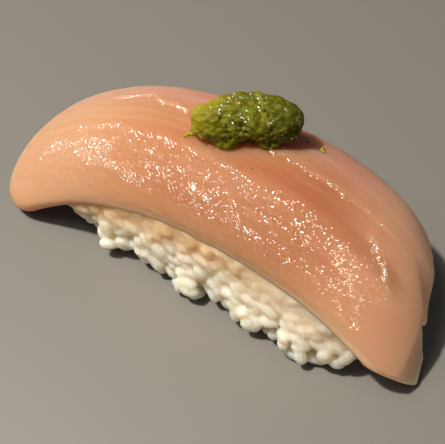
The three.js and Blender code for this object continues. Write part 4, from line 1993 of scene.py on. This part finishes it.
@dataclass
class Studio:
    """A pale floor, a soft surround, three lights and the camera. Lengths in millimetres."""

    azimuth: float = 33.59
    elevation: float = 51.39
    distance: float = 199.96
    target: Triple = (-0.14, -0.528, 8.05)
    lens: float = 84.94
    sensor: float = 36.0
    clip_start: float = 5.0
    aim: Triple = (0.0, 0.0, 15.0)
    lights: tuple[AreaLight, ...] = (
        AreaLight("key", (-0.29, -0.31, 0.905), 700.0, 45.0, 8.8, (1.0, 0.93, 0.83)),
        AreaLight("soft", (-0.32, -0.3, 0.9), 360.0, 230.0, 0.68, (1.0, 0.93, 0.83)),
        AreaLight("fill", (0.85, -0.42, 0.3), 900.0, 500.0, 1.0, (1.0, 0.96, 0.92)),
    )
    sky: Colour = (0.92, 0.96, 1.0, 1.0)
    sky_strength: float = 0.085
    floor_half: float = 1500.0
    floor_grey: Colour = rgba(101, 99, 95)
    floor_roughness: float = 0.5

    def camera(self) -> None:
        """Sets the camera on its bearing, looking at the target."""
        azimuth, elevation = math.radians(self.azimuth), math.radians(self.elevation)
        level = math.cos(elevation)
        back = Vector((math.sin(azimuth) * level, -math.cos(azimuth) * level, math.sin(elevation)))
        right = Vector((math.cos(azimuth), math.sin(azimuth), 0.0))
        turn = Matrix((right, back.cross(right), back)).transposed().to_4x4()
        data = bpy.data.cameras.new("camera")
        data.lens = self.lens
        data.sensor_width = self.sensor
        data.clip_start = self.clip_start * MM
        camera = bpy.data.objects.new("camera", data)
        camera.matrix_world = Matrix.Translation((Vector(self.target) + back * self.distance) * MM) @ turn
        bpy.context.scene.collection.objects.link(camera)
        bpy.context.scene.camera = camera

    def floor(self) -> None:
        """Lays the pale floor."""
        edge = np.linspace(-self.floor_half, self.floor_half, 3)
        x, y = np.meshgrid(edge, edge, indexing="ij")
        points = np.stack([x, y, np.zeros_like(x)], -1).reshape(-1, 3)
        floor = make_object("floor", Surface(points, grid_quads(3, 3)))
        board = Board("floor_grey")
        shader = board.principled({"Base Color": self.floor_grey, "Roughness": self.floor_roughness})
        floor.data.materials.append(board.finish(shader))

    def surround(self) -> None:
        """Fills the surround with an even, slightly cool light."""
        world = bpy.data.worlds.new("surround")
        world.use_nodes = True
        background = world.node_tree.nodes["Background"]
        background.inputs["Color"].default_value = self.sky
        background.inputs["Strength"].default_value = self.sky_strength
        bpy.context.scene.world = world

    def build(self) -> None:
        """Sets up the whole studio."""
        self.camera()
        self.floor()
        self.surround()
        for light in self.lights:
            light.add(self.aim)
        bpy.context.scene.view_settings.view_transform = "Standard"


def main() -> None:
    """Builds the piece and the studio."""
    logging.basicConfig(level=logging.INFO, format="%(message)s")
    slab = FishSlice()
    slab.dress()
    RiceHeap(slab).dress()
    GreenDollop(slab).dress()
    GreenCrumbs(slab).dress()
    Studio().build()


if __name__ == "__main__":
    main()
